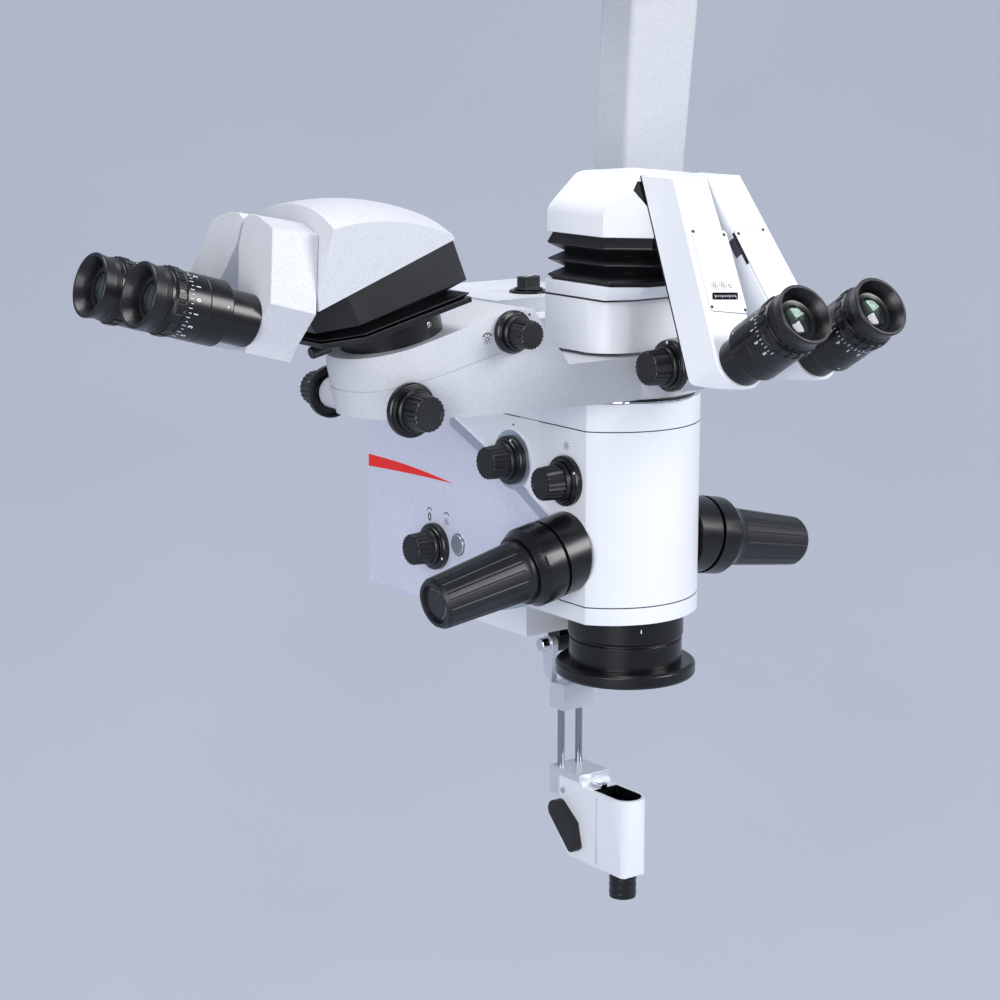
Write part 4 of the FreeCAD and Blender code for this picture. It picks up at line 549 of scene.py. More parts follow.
wedge = new_piece("grid", x_subdivisions=WEDGE_STEPS, y_subdivisions=1, size=1.0)
for corner in wedge.data.vertices:
    share = corner.co.x + 0.5
    top = WEDGE_TOP_Z + (WEDGE_TIP[1] - WEDGE_TOP_Z) * share + 2.0 * math.sin(math.pi * share)
    low = WEDGE_LOW_Z + (WEDGE_TIP[1] - WEDGE_LOW_Z) * share + 0.8 * math.sin(math.pi * share)
    height = top if corner.co.y > 0 else low
    corner.co = ((WEDGE_BACK - WEDGE_TIP[0]) * share - WEDGE_BACK, height, 0)
shape_by(wedge, "SOLIDIFY", thickness=PRINT_MM, offset=0)
place_piece(wedge, (COVER_X - 0.02, 0, 0), (-1, 0, 0), (0, -1, 0))
fit(wedge, "red_wedge", red_ink, "head")

button = dress("push_button", trim_lacquer, 0.5)
rim = new_piece("torus", major_radius=BUTTON_RING_R, minor_radius=0.7, major_segments=64, minor_segments=10)
place_piece(rim, BUTTON_AT, (-1, 0, 0), (0, 0, 1))
fit(rim, "button_ring", polished_chrome, "head")

for name, mark, place in (
        ("brightness_zero", numeral("0", 10.0), (COVER_X, 191.1, -253.5)),
        ("brightness_less", turn_arrow(4.0, -1), (COVER_X, 191.1, -249.5)),
        ("brightness_lamp", lamp_mark(), (COVER_X, 166.5, -253.5)),
        ("brightness_more", turn_arrow(4.0, 1), (COVER_X, 166.2, -249.5)),
        ("zoom_mark", lamp_mark(), (COVER_X + 1, 4.9, -164.6)),
        ("focus_mark", numeral("-", 9.0), (COVER_X + 1, 73.8, -156.8))):
    place_piece(mark, place, (-1, 0, 0), (0, -1, 0))
    fit(mark, name, dark_ink, "head")


# Objective, splash ring and zoom changer. A black anodised aluminium barrel holds the coated objective,
# with a flared ring round its foot that takes the sterile lens cover. The zoom changer is a steel drum
# on a cross shaft above it, turned by the zoom knob.
BAND_MARK_R = 46.5
BAND_MARK_Z = -311.0
BAND_MARK_TURN = math.radians(24.0)


def optical_glass(name, tint):
    """Coated optical glass: clear, with a faint tint in its reflections from the coating."""
    made, tree, place = new_finish(name)
    smear = add(tree, "TexNoise", {"Vector": place, "Scale": 60.0, "Detail": 3.0})
    gloss = add(tree, "MapRange", {"Value": smear.outputs["Fac"], "To Min": 0.01, "To Max": 0.05})
    shader = add(tree, "BsdfPrincipled", {"Base Color": linear(tint), "Roughness": gloss.outputs["Result"],
                                          "IOR": 1.52, "Transmission Weight": 1.0})
    add(tree, "OutputMaterial", {"Surface": shader.outputs["BSDF"]})
    return made


def wrapped(piece, radius):
    """Bends a flat mark round the Z axis, with its middle on the X axis and its up along Z."""
    for corner in piece.data.vertices:
        angle = corner.co.x / radius
        reach = radius + corner.co.z
        corner.co = (reach * math.cos(angle), reach * math.sin(angle), corner.co.y)
    return piece


def tick(radius, height, width, length):
    """One printed line on a cylinder, along its axis."""
    return new_piece("cube", size=1.0, location=(radius, 0, height), scale=(PRINT_MM, width, length))


coated_glass = optical_glass("coated_optical_glass", "#cfe6dc")
white_ink = printed_ink("white_screen_print", "#e8eaee")
objective = dress("objective_housing", black_enamel, 0.3)
dress("objective_lens", coated_glass)
dress("splash_ring", black_enamel, 0.5)
dress("zoom_changer", turned_steel)
index_line = tick(BAND_MARK_R, 0, 0.8, 3.0)
place_piece(index_line, (0, 0, BAND_MARK_Z), (0, 0, 1), (-math.sin(BAND_MARK_TURN), -math.cos(BAND_MARK_TURN), 0))
fit(index_line, "objective_index", white_ink, "head")


# Beam splitter block and base of the surgeon's tube. Both are white lacquered castings, with a glass
# prism inside. A black band round the foot of the base plate is painted shade of the gap where they meet.
GAP_SHADE_TOP_Z = -46.4

rubber = dark_finish("black_moulded_rubber", "#0a0b0d", "#15161a", 0.34, 0.6, 0.1)
dress("upper_block", white_lacquer, 1.2)
dress("beam_splitter_prism", coated_glass)
base_plate = dress("tube_base_plate", white_lacquer, 0.6)
# Below this edge the base plate's foot takes the black rubber finish: painted shade of the gap above the block.
paint_edge(base_plate, at(0, 0, GAP_SHADE_TOP_Z), (0, 0, 1))
repaint(base_plate, rubber, lambda p, n: p.z < GAP_SHADE_TOP_Z)


# Surgeon's tube. A white lacquered hood tilts on the base plate over a moulded rubber bellows, and two
# swing arms on its front set the distance between the eyepieces. The hood's faces behind the arms and a
# band along each arm's rear are black backing with painted shade of the gap behind the arms. Each arm has a
# screwed cover plate on a dark sheet that is painted shade of its edge gap, and the near one a small display window.
ARM_LEAN = math.radians(32.3)
ARM_OUT = Vector((0, -math.cos(ARM_LEAN), math.sin(ARM_LEAN)))
ARM_UP = Vector((0, math.sin(ARM_LEAN), math.cos(ARM_LEAN)))
ARM_TOP = Vector((0, -90.3, 47.0))
BACK_BAND = -35.4                                  # front edge of the black band behind the arms
SEAT_X = 29.5
SEAT_Y = -64.5
NEAR_PLATE = [(-34.9, -40.1), (-2.8, -45.2), (-12.0, -112.9), (-46.0, -107.5)]
FAR_PLATE = [(4.9, -45.1), (35.8, -43.1), (46.0, -107.5), (14.0, -112.9)]
PLATE_SCREWS = [(-34.3, -43.8), (-6.3, -48.3), (-43.6, -104.9), (-13.5, -109.9),
                (8.2, -48.3), (33.5, -46.6), (17.0, -109.9), (43.6, -104.9)]
DISPLAY = [(-38.2, -93.6), (-14.0, -95.5), (-16.7, -101.2), (-40.8, -99.3)]
DISPLAY_DOTS = [(-33.5, -88.2), (-25.7, -88.8), (-19.2, -89.7)]
SLIDE_EDGE = Vector((16.2, -152.4)) - Vector((0.3, 0.0))    # inner edge of the far arm, from its top
SLIDE_STRIP = (47.0, 73.0, -2.8, 0.0)              # along the edge, and out of the arm's front
SLIDE_PATCH = (50.0, 64.0, -9.6, -2.8)
FOLD_ROUND = 2.8                                   # radius of the folds' tips
FOLD_EDGE = 0.5


def arm_point(across, up, out):
    """A point in the plane of the swing arms' front, in millimetres."""
    return ARM_TOP + Vector((across, 0, 0)) + ARM_UP * up + ARM_OUT * out


def out_of_arm(p):
    return (p - ARM_TOP).dot(ARM_OUT)


def flat_plate(corners, corner_mm, thick_mm, grow=0.0):
    """A thin plate with rounded corners, from its four corners in a plane."""
    plate = new_piece("plane", size=2.0)
    middle = sum((Vector(c) for c in corners), Vector((0, 0))) / len(corners)
    for corner in plate.data.vertices:
        quarter = {(-1, 1): 0, (1, 1): 1, (1, -1): 2, (-1, -1): 3}[(round(corner.co.x), round(corner.co.y))]
        spot = Vector(corners[quarter])
        spot += (spot - middle).normalized() * grow
        corner.co = (spot.x, spot.y, 0)
    bpy.ops.object.mode_set(mode="EDIT")
    bpy.ops.mesh.select_all(action="SELECT")
    bpy.ops.mesh.bevel(offset=corner_mm, segments=6, affect="VERTICES")
    bpy.ops.object.mode_set(mode="OBJECT")
    return shape_by(plate, "SOLIDIFY", thickness=thick_mm, offset=1)


def slotted_screw(radius, height):
    """Cheese-head screw with a milled slot."""
    head = new_piece("cylinder", vertices=28, radius=radius, depth=height, location=(0, 0, height / 2))
    slot = new_piece("cube", size=1.0, location=(0, 0, height), scale=(3 * radius, radius * 0.32, height))
    shape_by(head, "BOOLEAN", object=slot, operation="DIFFERENCE")
    bpy.data.objects.remove(slot)
    return shape_by(head, "BEVEL", width=radius * 0.1, segments=2)


def soften_folds(piece, up):
    """Rounds the tips of a bellows' folds widely and its other edges a little."""
    shape = bmesh.new()
    shape.from_mesh(piece.data)
    weights = shape.edges.layers.float.new("bevel_weight_edge")
    for edge in shape.edges:
        if len(edge.link_faces) == 2:
            above, below = (face.normal.dot(up) for face in edge.link_faces)
            if edge.is_convex and above * below < -0.02 and abs(above) < 0.95 and abs(below) < 0.95:
                edge[weights] = 1.0
    shape.to_mesh(piece.data)
    shape.free()
    shape_by(piece, "BEVEL", width=FOLD_ROUND / 1000, segments=5, limit_method="WEIGHT")
    shape_by(piece, "BEVEL", width=FOLD_EDGE / 1000, segments=2, limit_method="ANGLE", angle_limit=math.radians(40))
    smooth(piece, 60)


dark_steel = turned_metal("blackened_screw_steel", "#4c4e54", 0.35, 1.0)
display_glass = dark_finish("black_display_window", "#060709", "#0d0e11", 0.12, 4.0, 0.01)
hood = dress("surgeon_hood", white_lacquer, 0.8,
             big=(6.0, lambda a, b: min(a.z, b.z) > 22 and max(a.y, b.y) - min(a.y, b.y) > 20 and min(a.y, b.y) > -80
                  or min(a.z, b.z) > 22 and min(a.y, b.y) > 31))
# The hood's seat faces behind the arms turn black: black backing with painted shade of the gap behind the arms.
repaint(hood, black_enamel, lambda p, n: n.dot(ARM_OUT) > 0.9 and p.y < SEAT_Y
        or abs(n.x) > 0.9 and SEAT_X < abs(p.x) < SEAT_X + 1 and p.y < SEAT_Y)
folds = coated("surgeon_bellows", rubber)
soften_folds(folds, Vector((0, 0, 1)))
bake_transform(folds)

for side, body in (("left", "surgeon_arm_l"), ("right", "surgeon_arm_r")):
    arm = dress("surgeon_arm_" + side, white_lacquer, 0.8)
    # The arm's rear band turns black: black backing with painted shade of the gap behind the arm.
    paint_edge(arm, at(*arm_point(0, 0, BACK_BAND)), ARM_OUT)
    repaint(arm, black_enamel, lambda p, n: out_of_arm(p) < BACK_BAND)
for name, corners, body in (("near", NEAR_PLATE, "surgeon_arm_l"), ("far", FAR_PLATE, "surgeon_arm_r")):
    # A dark sheet a little larger than the cover plate, under it: painted shade of the gap round the plate's edge.
    shade_rim = flat_plate(corners, 3.4, 0.12, 0.45)
    place_piece(shade_rim, ARM_TOP, ARM_OUT, (1, 0, 0))
    fit(shade_rim, name + "_arm_plate_shade_rim", seam_dark_and_gap_shade, body)
    plate = flat_plate(corners, 3.0, 0.5)
    shape_by(plate, "BEVEL", width=0.12, segments=2, limit_method="ANGLE")
    place_piece(plate, ARM_TOP, ARM_OUT, (1, 0, 0))
    fit(plate, name + "_arm_cover_plate", white_lacquer, body)
screw = slotted_screw(1.25, 0.7)
for i, (across, up) in enumerate(PLATE_SCREWS):
    copy = loose_copy(screw, "screw")
    place_piece(copy, arm_point(across, up, 0.3), ARM_OUT, (math.cos(i * 1.3), 0, math.sin(i * 1.3)))
    fit(copy, "arm_plate_screw_%d" % i, dark_steel, "surgeon_arm_l" if across < 0 else "surgeon_arm_r")
bpy.data.objects.remove(screw)

window = flat_plate(DISPLAY, 1.2, 0.65)
place_piece(window, ARM_TOP, ARM_OUT, (1, 0, 0))
fit(window, "eye_distance_window", display_glass, "surgeon_arm_l")
scale_lines = []
for i in range(13):
    share = i / 12
    spot = Vector(DISPLAY[0]).lerp(Vector(DISPLAY[1]), 0.1 + 0.8 * share) + Vector((-1.2, -2.9 if i % 4 else -3.2))
    scale_lines.append(new_piece("cube", size=1.0, location=(spot.x, spot.y, 0.68),
                                 scale=(0.35, 1.5 if i % 4 else 2.4, PRINT_MM)))
scale_marks = joined(scale_lines)
place_piece(scale_marks, ARM_TOP, ARM_OUT, (1, 0, 0))
fit(scale_marks, "eye_distance_scale", white_ink, "surgeon_arm_l")
for i, (across, up) in enumerate(DISPLAY_DOTS):
    mark = lamp_mark() if i < 2 else new_piece("torus", major_radius=1.4, minor_radius=0.25)
    place_piece(mark, arm_point(across, up, 0.52), ARM_OUT, (1, 0, 0))
    fit(mark, "arm_mark_%d" % i, dark_ink, "surgeon_arm_l")

edge_way = SLIDE_EDGE.normalized()
slide_way = Vector((edge_way.x, 0, 0)) + ARM_UP * edge_way.y
slide_face = (ARM_UP * edge_way.x - Vector((edge_way.y, 0, 0))) * -1
grey_slider = dark_finish("dark_grey_moulded_slider", "#3c3d4a", "#474855", 0.45, 1.0, 0.05)
for name, (low, high, deep, proud), finish in (("slide_strip", SLIDE_STRIP, black_enamel),
                                               ("slide_patch", SLIDE_PATCH, grey_slider)):
    piece = new_piece("cube", size=1.0, location=((low + high) / 2, (deep + proud) / 2, 0),
                      scale=(high - low, proud - deep, 0.4))
    shape_by(piece, "BEVEL", width=0.1, segments=2)
    place_piece(piece, arm_point(0.3, 0, 0), slide_way.cross(ARM_OUT), slide_way)
    fit(piece, name, finish, "surgeon_arm_r")


# Eyepieces, the same in both tubes. Black anodised tubes carry turning dioptre barrels with an engraved
# scale, a ribbed moulded band and a soft rubber cup round a coated lens.
DIAL_R = 23.05
TICK_HEIGHT = 20.8
TICK_TURN = 8.0
FIGURE_HEIGHT = 15.6
FIGURES = ("5", "3", "1", "0", "1", "3", "5")
FIGURE_TURN = 24.0
INDEX_HEIGHT = -7.5
SLEEVE_LOW = -12.5       # rear end of the turning barrel, from the start of its solid
SLEEVE_HIGH = 6.4
TUBE_R = 18.6
BAND_HEIGHT = 28.4
BAND_LUGS = 20
CUP_START = 35.0
BEZEL_R = 15.3
BEZEL_TOP = 39.4
BEZEL_DEPTH = 3.4
LENS_R = 11.6
LENS_AT = 37.2
SURGEON_BARREL = 30.5
ASSISTANT_BARREL = 37.3
EYE_DOWN = -150.25
EYE_ACROSS = 36.9
SIDE_LEAN = math.radians(16.0)
SIDE_OUT = Vector((-math.cos(SIDE_LEAN), 0, math.sin(SIDE_LEAN)))
SIDE_UP = Vector((math.sin(SIDE_LEAN), 0, math.cos(SIDE_LEAN)))
SIDE_EYES = Vector((-366.7, 0, -38.1))


def dioptre_dial():
    """Printed ticks, figures and an index mark round a barrel."""
    marks = []
    for i in range(-10, 11):
        length = 3.0 if i % 2 == 0 else 1.8
        line = tick(DIAL_R, TICK_HEIGHT - (3.0 - length) / 2, 0.4, length)
        line.rotation_euler = (0, 0, 0)
        angle = math.radians(i * TICK_TURN)
        line.location = (DIAL_R * math.cos(angle), DIAL_R * math.sin(angle), line.location.z)
        line.rotation_euler = (0, 0, angle)
        marks.append(line)
    for i, text in enumerate(FIGURES):
        figure = wrapped(numeral(text, 4.6), DIAL_R)
        figure.location = (0, 0, FIGURE_HEIGHT)
        figure.rotation_euler = (0, 0, math.radians((i - 3) * FIGURE_TURN))
        marks.append(figure)
    index = new_piece("uv_sphere", segments=16, ring_count=8, radius=0.9, location=(DIAL_R - 0.6, 0, INDEX_HEIGHT))
    marks.append(index)
    return joined(marks)


def ribbed_band():
    """Moulded ring of finger ribs."""
    lug = new_piece("cube", size=1.0, location=(DIAL_R + 0.1, 0, BAND_HEIGHT), scale=(1.5, 4.6, 6.6))
    bpy.ops.object.transform_apply(location=True, rotation=True, scale=True)
    shape_by(lug, "BEVEL", width=0.45, segments=3)
    return ring_of(lug, BAND_LUGS)


def barrel_sleeve():
    """Rear of the turning barrel, a thin ring that slides over the tube."""
    sleeve = new_piece("cylinder", vertices=72, radius=DIAL_R - 0.05, depth=SLEEVE_HIGH - SLEEVE_LOW,
                       location=(0, 0, (SLEEVE_HIGH + SLEEVE_LOW) / 2), end_fill_type="NOTHING")
    shape_by(sleeve, "SOLIDIFY", thickness=DIAL_R - TUBE_R, offset=-1)
    shape_by(sleeve, "BEVEL", width=1.2, segments=3, limit_method="ANGLE")
    smooth(sleeve, 40)
    return sleeve


def lens_bezel():
    """Conical ring that holds the front lens in the cup."""
    bezel = new_piece("cylinder", vertices=64, radius=BEZEL_R, depth=BEZEL_DEPTH,
                      location=(0, 0, BEZEL_TOP - BEZEL_DEPTH / 2))
    for face in bezel.data.polygons:
        face.select = face.normal.z > 0.9
    for kind in (bezel.data.edges, bezel.data.vertices):
        for item in kind:
            item.select = False
    bpy.ops.object.mode_set(mode="EDIT")
    bpy.ops.mesh.select_mode(type="FACE")
    bpy.ops.mesh.inset(thickness=0.8, depth=0)
    bpy.ops.mesh.inset(thickness=2.6, depth=-1.2)
    bpy.ops.mesh.inset(thickness=0.1, depth=-1.2)
    bpy.ops.object.mode_set(mode="OBJECT")
    smooth(bezel, 25)
    return bezel


def front_lens():
    """Plano-convex lens, cut from a shallow dome."""
    dome = new_piece("uv_sphere", segments=48, ring_count=24, radius=LENS_R, scale=(1, 1, 0.26))
    bpy.ops.object.transform_apply(location=False, rotation=False, scale=True)
    bpy.ops.object.mode_set(mode="EDIT")
    bpy.ops.mesh.select_all(action="SELECT")
    bpy.ops.mesh.bisect(plane_co=(0, 0, 0), plane_no=(0, 0, -1), clear_outer=True, use_fill=True)
    bpy.ops.object.mode_set(mode="OBJECT")
    dome.location = (0, 0, LENS_AT)
    smooth(dome, 40)
    return dome


dial = dioptre_dial()
band = ribbed_band()
sleeve = barrel_sleeve()
bezel = lens_bezel()
dome = front_lens()
for name, cup_body, root, way, start, twist in (
        ("surgeon_{}_left", "surgeon_cup_l", arm_point(-EYE_ACROSS, EYE_DOWN, 0), ARM_OUT, SURGEON_BARREL, (-1, 0, 0.9)),
        ("surgeon_{}_right", "surgeon_cup_r", arm_point(EYE_ACROSS, EYE_DOWN, 0), ARM_OUT, SURGEON_BARREL, (-0.2, 0, -1)),
        ("assistant_{}_near", "side_cup_n", SIDE_EYES - Vector((0, 35, 0)), SIDE_OUT, ASSISTANT_BARREL, (0, -1, 0.25)),
        ("assistant_{}_far", "side_cup_f", SIDE_EYES + Vector((0, 35, 0)), SIDE_OUT, ASSISTANT_BARREL, (0, -0.7, 0.8))):
    dress(name.format("eye_tube"), black_enamel, 0.4)
    cup = dress(name.format("eyecup"), black_enamel, 0.35, 20)
    face = root + way * (start + CUP_START)
    repaint(cup, rubber, lambda p, n: (p - face).dot(way) > 0)
    dress(name.format("eye_lens"), coated_glass)
    for part, kind, finish, slot in ((dial, "dial", white_ink, "black_plastic"), (band, "band", rubber, "black_plastic"),
                                     (sleeve, "barrel_sleeve", black_enamel, "black_plastic"),
                                     (bezel, "lens_bezel", black_enamel, "black_plastic"),
                                     (dome, "front_lens", coated_glass, "glass")):
        copy = loose_copy(part, "copy")
        place_piece(copy, root + way * start, way, twist)
        fit(copy, name.format(kind), finish, cup_body)
for part in (dial, band, sleeve, bezel, dome):
    bpy.data.objects.remove(part)


# Assistant's side arm. A casting and its cover, both in textured grey lacquer, turn on the head's collar.
# A black clamp ring with a long thumbscrew holds the assistant's tube, whose hood tilts on a second
# bellows and carries two more swing arms.
HOOD_LOW_REAR = (-208.0, 10.0)
HOOD_LOW_FRONT = (-322.7, -33.0)
RING_SCREW = (-230.8, -37.4, -50.5)
SLOPE = math.radians(13.7)
CLAMP_FOOT = Vector((-225.0, 0, -64.3))
CLAMP_UP = Vector((-math.sin(SLOPE), 0, math.cos(SLOPE)))
CLAMP_R = 38.5
RING_SCREW_TURN = math.radians(-75.0)
SKIRT_FRONT = 3.0        # the skirt inside the bellows hangs this far below the hood's edge
SKIRT_REAR = 12.0
SKIRT_LENGTH = 0.92      # as shares of the bellows' length and width
SKIRT_WIDTH = 0.96
CLAMP_ALONG = Vector((math.cos(SLOPE), 0, math.sin(SLOPE)))
SCREW_HEAD_AT = 52.6
SELECTOR_MARK = (-170.8, -45.0, -66.0)
SELECTOR_DOT = (-132.3, -45.0, -50.7)


def above_hood_edge(p, gap):
    share = (p.x - HOOD_LOW_REAR[0]) / (HOOD_LOW_FRONT[0] - HOOD_LOW_REAR[0])
    return p.z > HOOD_LOW_REAR[1] + share * (HOOD_LOW_FRONT[1] - HOOD_LOW_REAR[1]) + gap


moulded = dark_finish("black_moulded_abs", "#0c0d10", "#191b20", 0.34, 0.8, 0.12)
dress("assistant_arm", grey_speckle, 1.4)
dress("assistant_arm_cover", grey_speckle, 1.4)
dress("clamp_ring", black_enamel, 0.4)
dress("assistant_tube_base", black_enamel, 0.4)
clamp_screw = dress("clamp_screw", moulded, 0.2)
repaint(clamp_screw, polished_chrome, lambda p, n: (CLAMP_FOOT - p).dot(CLAMP_ALONG) < SCREW_HEAD_AT)
side_hood = dress("assistant_hood", grey_speckle, 0.8, 32,
                  big=(5.0, lambda a, b: min(abs(a.y), abs(b.y)) > 56 and above_hood_edge(a, 4) and above_hood_edge(b, 4)
                       and min(a.x, b.x) > -330 and abs(a.z - b.z) < 20))
for side in ("near", "far"):
    dress("assistant_swing_arm_" + side, grey_speckle, 2.4)
skirt = loose_copy(frame["nodes"]["assistant_bellows"], "copy")
side_folds = coated("assistant_bellows", rubber)
soften_folds(side_folds, CLAMP_UP)
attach(side_folds, "side_base")

skirt_low_front = at(HOOD_LOW_FRONT[0], 0, HOOD_LOW_FRONT[1] - SKIRT_FRONT)
skirt_low_rear = at(HOOD_LOW_REAR[0], 0, HOOD_LOW_REAR[1] - SKIRT_REAR)
rise = skirt_low_rear - skirt_low_front
pick_only(skirt)
bpy.ops.object.mode_set(mode="EDIT")
bpy.ops.mesh.select_all(action="SELECT")
bpy.ops.mesh.remove_doubles(threshold=2e-6)
bpy.ops.mesh.bisect(plane_co=skirt_low_front, plane_no=(-rise.z, 0, rise.x), clear_inner=True, use_fill=True)
bpy.ops.object.mode_set(mode="OBJECT")
middle = (skirt_low_front + skirt_low_rear) / 2
for corner in skirt.data.vertices:
    corner.co.x = middle.x + (corner.co.x - middle.x) * SKIRT_LENGTH
    corner.co.y = middle.y + (corner.co.y - middle.y) * SKIRT_WIDTH
smooth(skirt, 30)
fit(skirt, "assistant_skirt", rubber, "side_tube")

ring_screw = slotted_screw(2.4, 1.2)
reach = Vector((math.cos(RING_SCREW_TURN) * math.cos(SLOPE), math.sin(RING_SCREW_TURN),
                math.cos(RING_SCREW_TURN) * math.sin(SLOPE)))
place_piece(ring_screw, CLAMP_FOOT + CLAMP_UP * 10 + reach * (CLAMP_R - 0.1), reach, (0.5, 0, 1))
fit(ring_screw, "clamp_ring_screw", polished_chrome, "side_arm")
for name, mark, place in (("selector_mark", lamp_mark(), SELECTOR_MARK),
                          ("selector_turn", turn_arrow(4.6, -1), SELECTOR_MARK),
                          ("selector_dot", new_piece("cylinder", vertices=20, radius=1.1, depth=PRINT_MM), SELECTOR_DOT)):
    place_piece(mark, place, (0, -1, 0), (1, 0, 0))
    fit(mark, name, dark_ink, "side_arm")


# Knobs. Moulded black knobs with knurled caps turn over round scale flanges that are screwed to the
# castings. Each flange has a white index dot. The two on the side arm share one brass-bushed shaft.
KNOB_END = 26.0
KNOB_DOT_UP = 5.6
KNOB_DOT_R = 18.1
CAP_DISC_R = 11.0
WING_AT = (0.0, 130.6, -60.0)
FLANGE_FACE = 5.2
KNOBS = (("focus_knob", "focus", "head", (-59.8, 74.0, -186.0), (-1, 0, 0), (0, -0.35, 1), 1.0),
         ("zoom_knob", "zoom", "head", (-58.0, 4.0, -192.0), (-1, 0, 0), (0, -0.9, 0.5), 1.0),
         ("brightness_knob", "brightness", "head", (-59.0, 182.0, -277.0), (-1, 0, 0), (0, -0.9, -0.4), 1.0),
         ("beam_selector_knob", "selector", "side_arm", (-149.0, -45.0, -62.0), (0, -1, 0), (1, 0, 0.2), 0.8),
         ("collar_clamp_knob", "collar_clamp", "side_arm", (-12.0, -67.0, -96.7), (-1, 0, 0), (0, 0, 1), 1.0),
         ("side_focus_knobs", "side_focus", "side_arm", (-240.0, -45.0, -111.0), (0, -1, 0), (1, 0, 0.5), 1.0),
         ("side_focus_knobs", "side_focus", "side_arm", (-240.0, 57.0, -111.0), (0, 1, 0), (-1, 0, 0.5), 1.0))


def cap_disc():
    """End disc of a knob cap, with a raised edge and a small dimple."""
    disc = new_piece("cylinder", vertices=56, radius=CAP_DISC_R, depth=0.6, location=(0, 0, 0.3))
    for face in disc.data.polygons:
        face.select = face.normal.z > 0.9
    for item in (disc.data.edges, disc.data.vertices):
        for one in item:
            one.select = False
    bpy.ops.object.mode_set(mode="EDIT")
    bpy.ops.mesh.select_mode(type="FACE")
    bpy.ops.mesh.inset(thickness=1.2, depth=0)
    bpy.ops.mesh.inset(thickness=0.3, depth=-0.35)
    bpy.ops.mesh.inset(thickness=8.0, depth=0)
    bpy.ops.mesh.inset(thickness=0.4, depth=-0.3)
    bpy.ops.object.mode_set(mode="OBJECT")
    smooth(disc, 30)
    return disc


for node in ("knob_flanges", "arm_knob_flanges"):
    dress(node, black_enamel, 0.35)
for node in ("focus_knob", "zoom_knob", "brightness_knob", "beam_selector_knob", "side_focus_knobs",
             "collar_clamp_knob"):
    dress(node, moulded, 0.18, 20)
wing = dress("wing_knob", moulded, 1.2)
disc = cap_disc()
for i, (node, body, casting, seat, way, dot_way, scale) in enumerate(KNOBS):
    way = Vector(way)
    plate = loose_copy(disc, "copy")
    plate.scale = (scale, scale, 1)
    pick_only(plate)
    bpy.ops.object.transform_apply(location=False, rotation=False, scale=True)
    place_piece(plate, Vector(seat) + way * (KNOB_END - 0.1), way, dot_way)
    fit(plate, "%s_end_%d" % (body, i), moulded, body)
    dot = new_piece("uv_sphere", segments=20, ring_count=10, radius=0.95)
    dot.scale = (1.6, 1, 0.5)
    pick_only(dot)
    bpy.ops.object.transform_apply(location=False, rotation=False, scale=True)
    dot.location = (0, 0, 0)
    spot = Vector(seat) + way * KNOB_DOT_UP + Vector(dot_way).normalized() * (KNOB_DOT_R * scale)
    place_piece(dot, spot, way, dot_way)
    fit(dot, "%s_index_%d" % (body, i), white_ink, casting)
bpy.data.objects.remove(disc)

wing_line = new_piece("cube", size=1.0, location=(0, 0, 13.4), scale=(13.0, 0.9, 0.3))
shape_by(wing_line, "BEVEL", width=0.1, segments=2)
place_piece(wing_line, WING_AT, (0, 0, 1), (math.cos(math.radians(25)), math.sin(math.radians(25)), 0))
fit(wing_line, "filter_index_line", white_ink, "filter")


# Hand grips. Root flanges of black anodised aluminium are screwed to the sides of the head, and fluted
# grips of soft black rubber turn in them. The end of each grip is sunk round a disc with a bright edge.
GRIP_DROOP = math.radians(10.6)
GRIP_END = 127.6
GRIP_RIBS = 20

rib_rubber = dark_finish("black_grip_rubber", "#111216", "#1e1f25", 0.36, 0.5, 0.12)
dress("grip_flanges", black_enamel, 0.7)
for side, name, body in ((-1, "left", "grip_l"), (1, "right", "grip_r")):
    dress("hand_grip_" + name, rib_rubber, 0.45, 24)
    way = Vector((side * math.cos(GRIP_DROOP), 0, -math.sin(GRIP_DROOP)))
    root = Vector((side * 58.0, 3.0, -249.0))
    edge = new_piece("torus", major_radius=11.6, minor_radius=0.35, major_segments=56, minor_segments=8)
    place_piece(edge, root + way * GRIP_END, way, (0, 1, 0))
    fit(edge, "grip_end_ring_" + name, polished_chrome, body)


# Wide-angle viewing attachment. It hangs on a black bracket under the housing: an anodised block on a
# knurled screw, two polished guide rods, a sliding carriage, and a narrow white body with a lens barrel
# and a switching lever. The top of the body is open, with a small chrome latch.
WELL_TOP = -461.6
WELL_FLOOR = -492.0
WELL_HALF = 12.6
WELL_END = 24.6
NOSE_Y = -4.0
SEAM_X = -15.0
BODY_SEAM_Y = 17.0
BODY_SEAM_Z_RANGE = (-523.0, -465.0)
PIVOT_SCREW = (-16.0, 60.1, -469.9)
BARREL_RINGS = (-531.5, -537.5, -543.5)
BARREL_R = 11.1

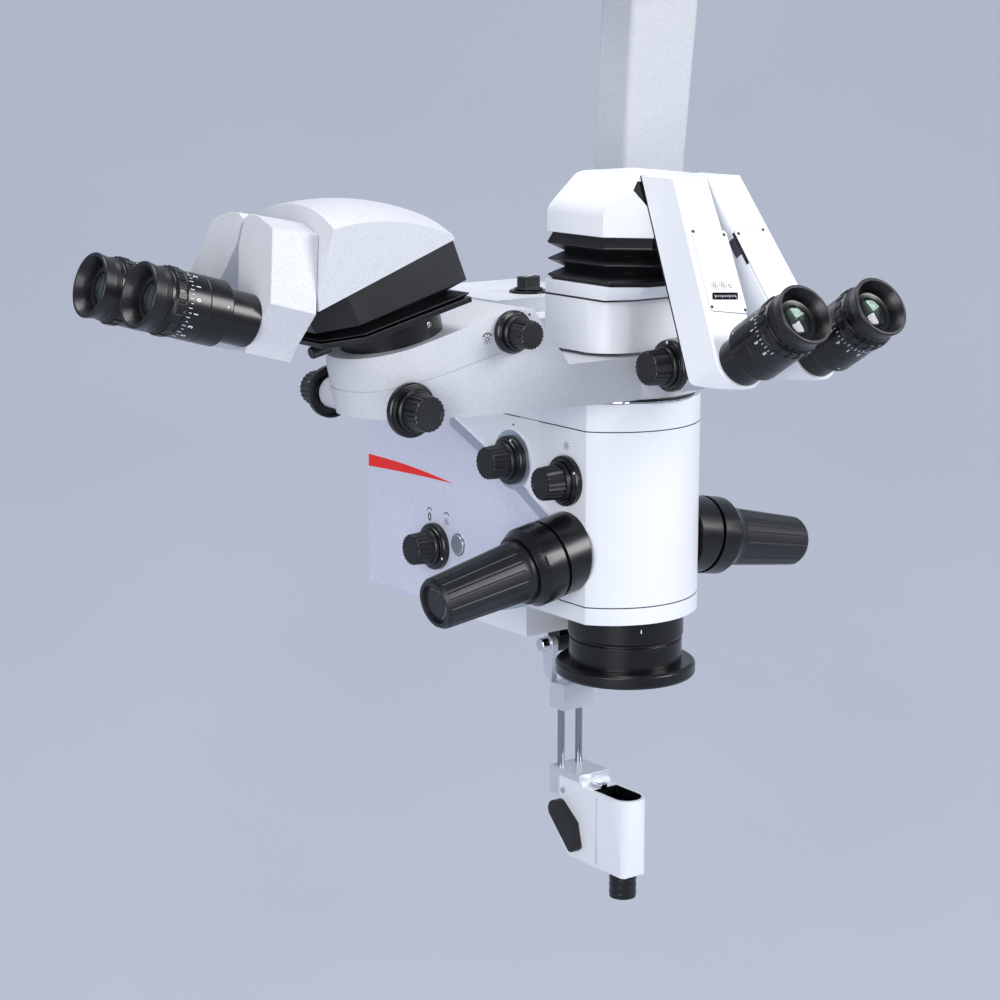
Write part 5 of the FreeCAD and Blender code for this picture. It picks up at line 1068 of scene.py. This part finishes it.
satin_aluminium = metallic_lacquer("clear_anodised_aluminium", "#cfd3dc", "#e3e6ec", 0.55, 0.34)
guide_steel = turned_metal("ground_guide_steel", "#a2a5ab", 0.2, 3.0)
dress("viewer_bracket", black_enamel, 0.5)
hanger = dress("viewer_hanger", satin_aluminium, 0.6)
repaint(hanger, guide_steel, lambda p, n: p.z < -402.5)
dress("viewer_thumbscrew", polished_chrome, 0.15, 20)
dress("viewer_carriage", satin_aluminium, 0.8)
viewer_body = dress("viewer_body", white_lacquer, 1.0)
repaint(viewer_body, black_enamel, lambda p, n: WELL_FLOOR < p.z < WELL_TOP
        and (abs(p.x) < WELL_HALF and NOSE_Y < p.y < WELL_END or (p - Vector((0, NOSE_Y, p.z))).length < WELL_HALF))
dress("viewer_lens_barrel", black_enamel, 0.4)
dress("viewer_lever", moulded, 1.6)
seam = new_piece("cube", size=1.0, scale=(0.35, BODY_SEAM_Z_RANGE[1] - BODY_SEAM_Z_RANGE[0], 0.1))
shape_by(seam, "BEVEL", width=0.03, segments=1)
place_piece(seam, (SEAM_X, BODY_SEAM_Y, sum(BODY_SEAM_Z_RANGE) / 2), (-1, 0, 0), (0, 1, 0))
fit(seam, "viewer_body_seam", seam_dark_and_gap_shade, "viewer_carriage")
pivot = slotted_screw(2.6, 1.0)
place_piece(pivot, PIVOT_SCREW, (-1, 0, 0), (0, 1, 0.6))
fit(pivot, "viewer_plate_screw", polished_chrome, "viewer_carriage")
for i, height in enumerate(BARREL_RINGS):
    ring = new_piece("torus", major_radius=BARREL_R, minor_radius=0.35, major_segments=48, minor_segments=8)
    place_piece(ring, (0, 0, height), (0, 0, 1), (1, 0, 0))
    fit(ring, "viewer_barrel_ring_%d" % i, black_enamel, "viewer_carriage")
latch = new_piece("cube", size=1.0, location=(0, 0, 2.0), scale=(13.0, 7.0, 4.0))
shape_by(latch, "BEVEL", width=1.0, segments=3)
place_piece(latch, (-2.0, 29.0, -461.0), (0, 0, 1), (0, 1, 0))
fit(latch, "viewer_latch", polished_chrome, "viewer_carriage")
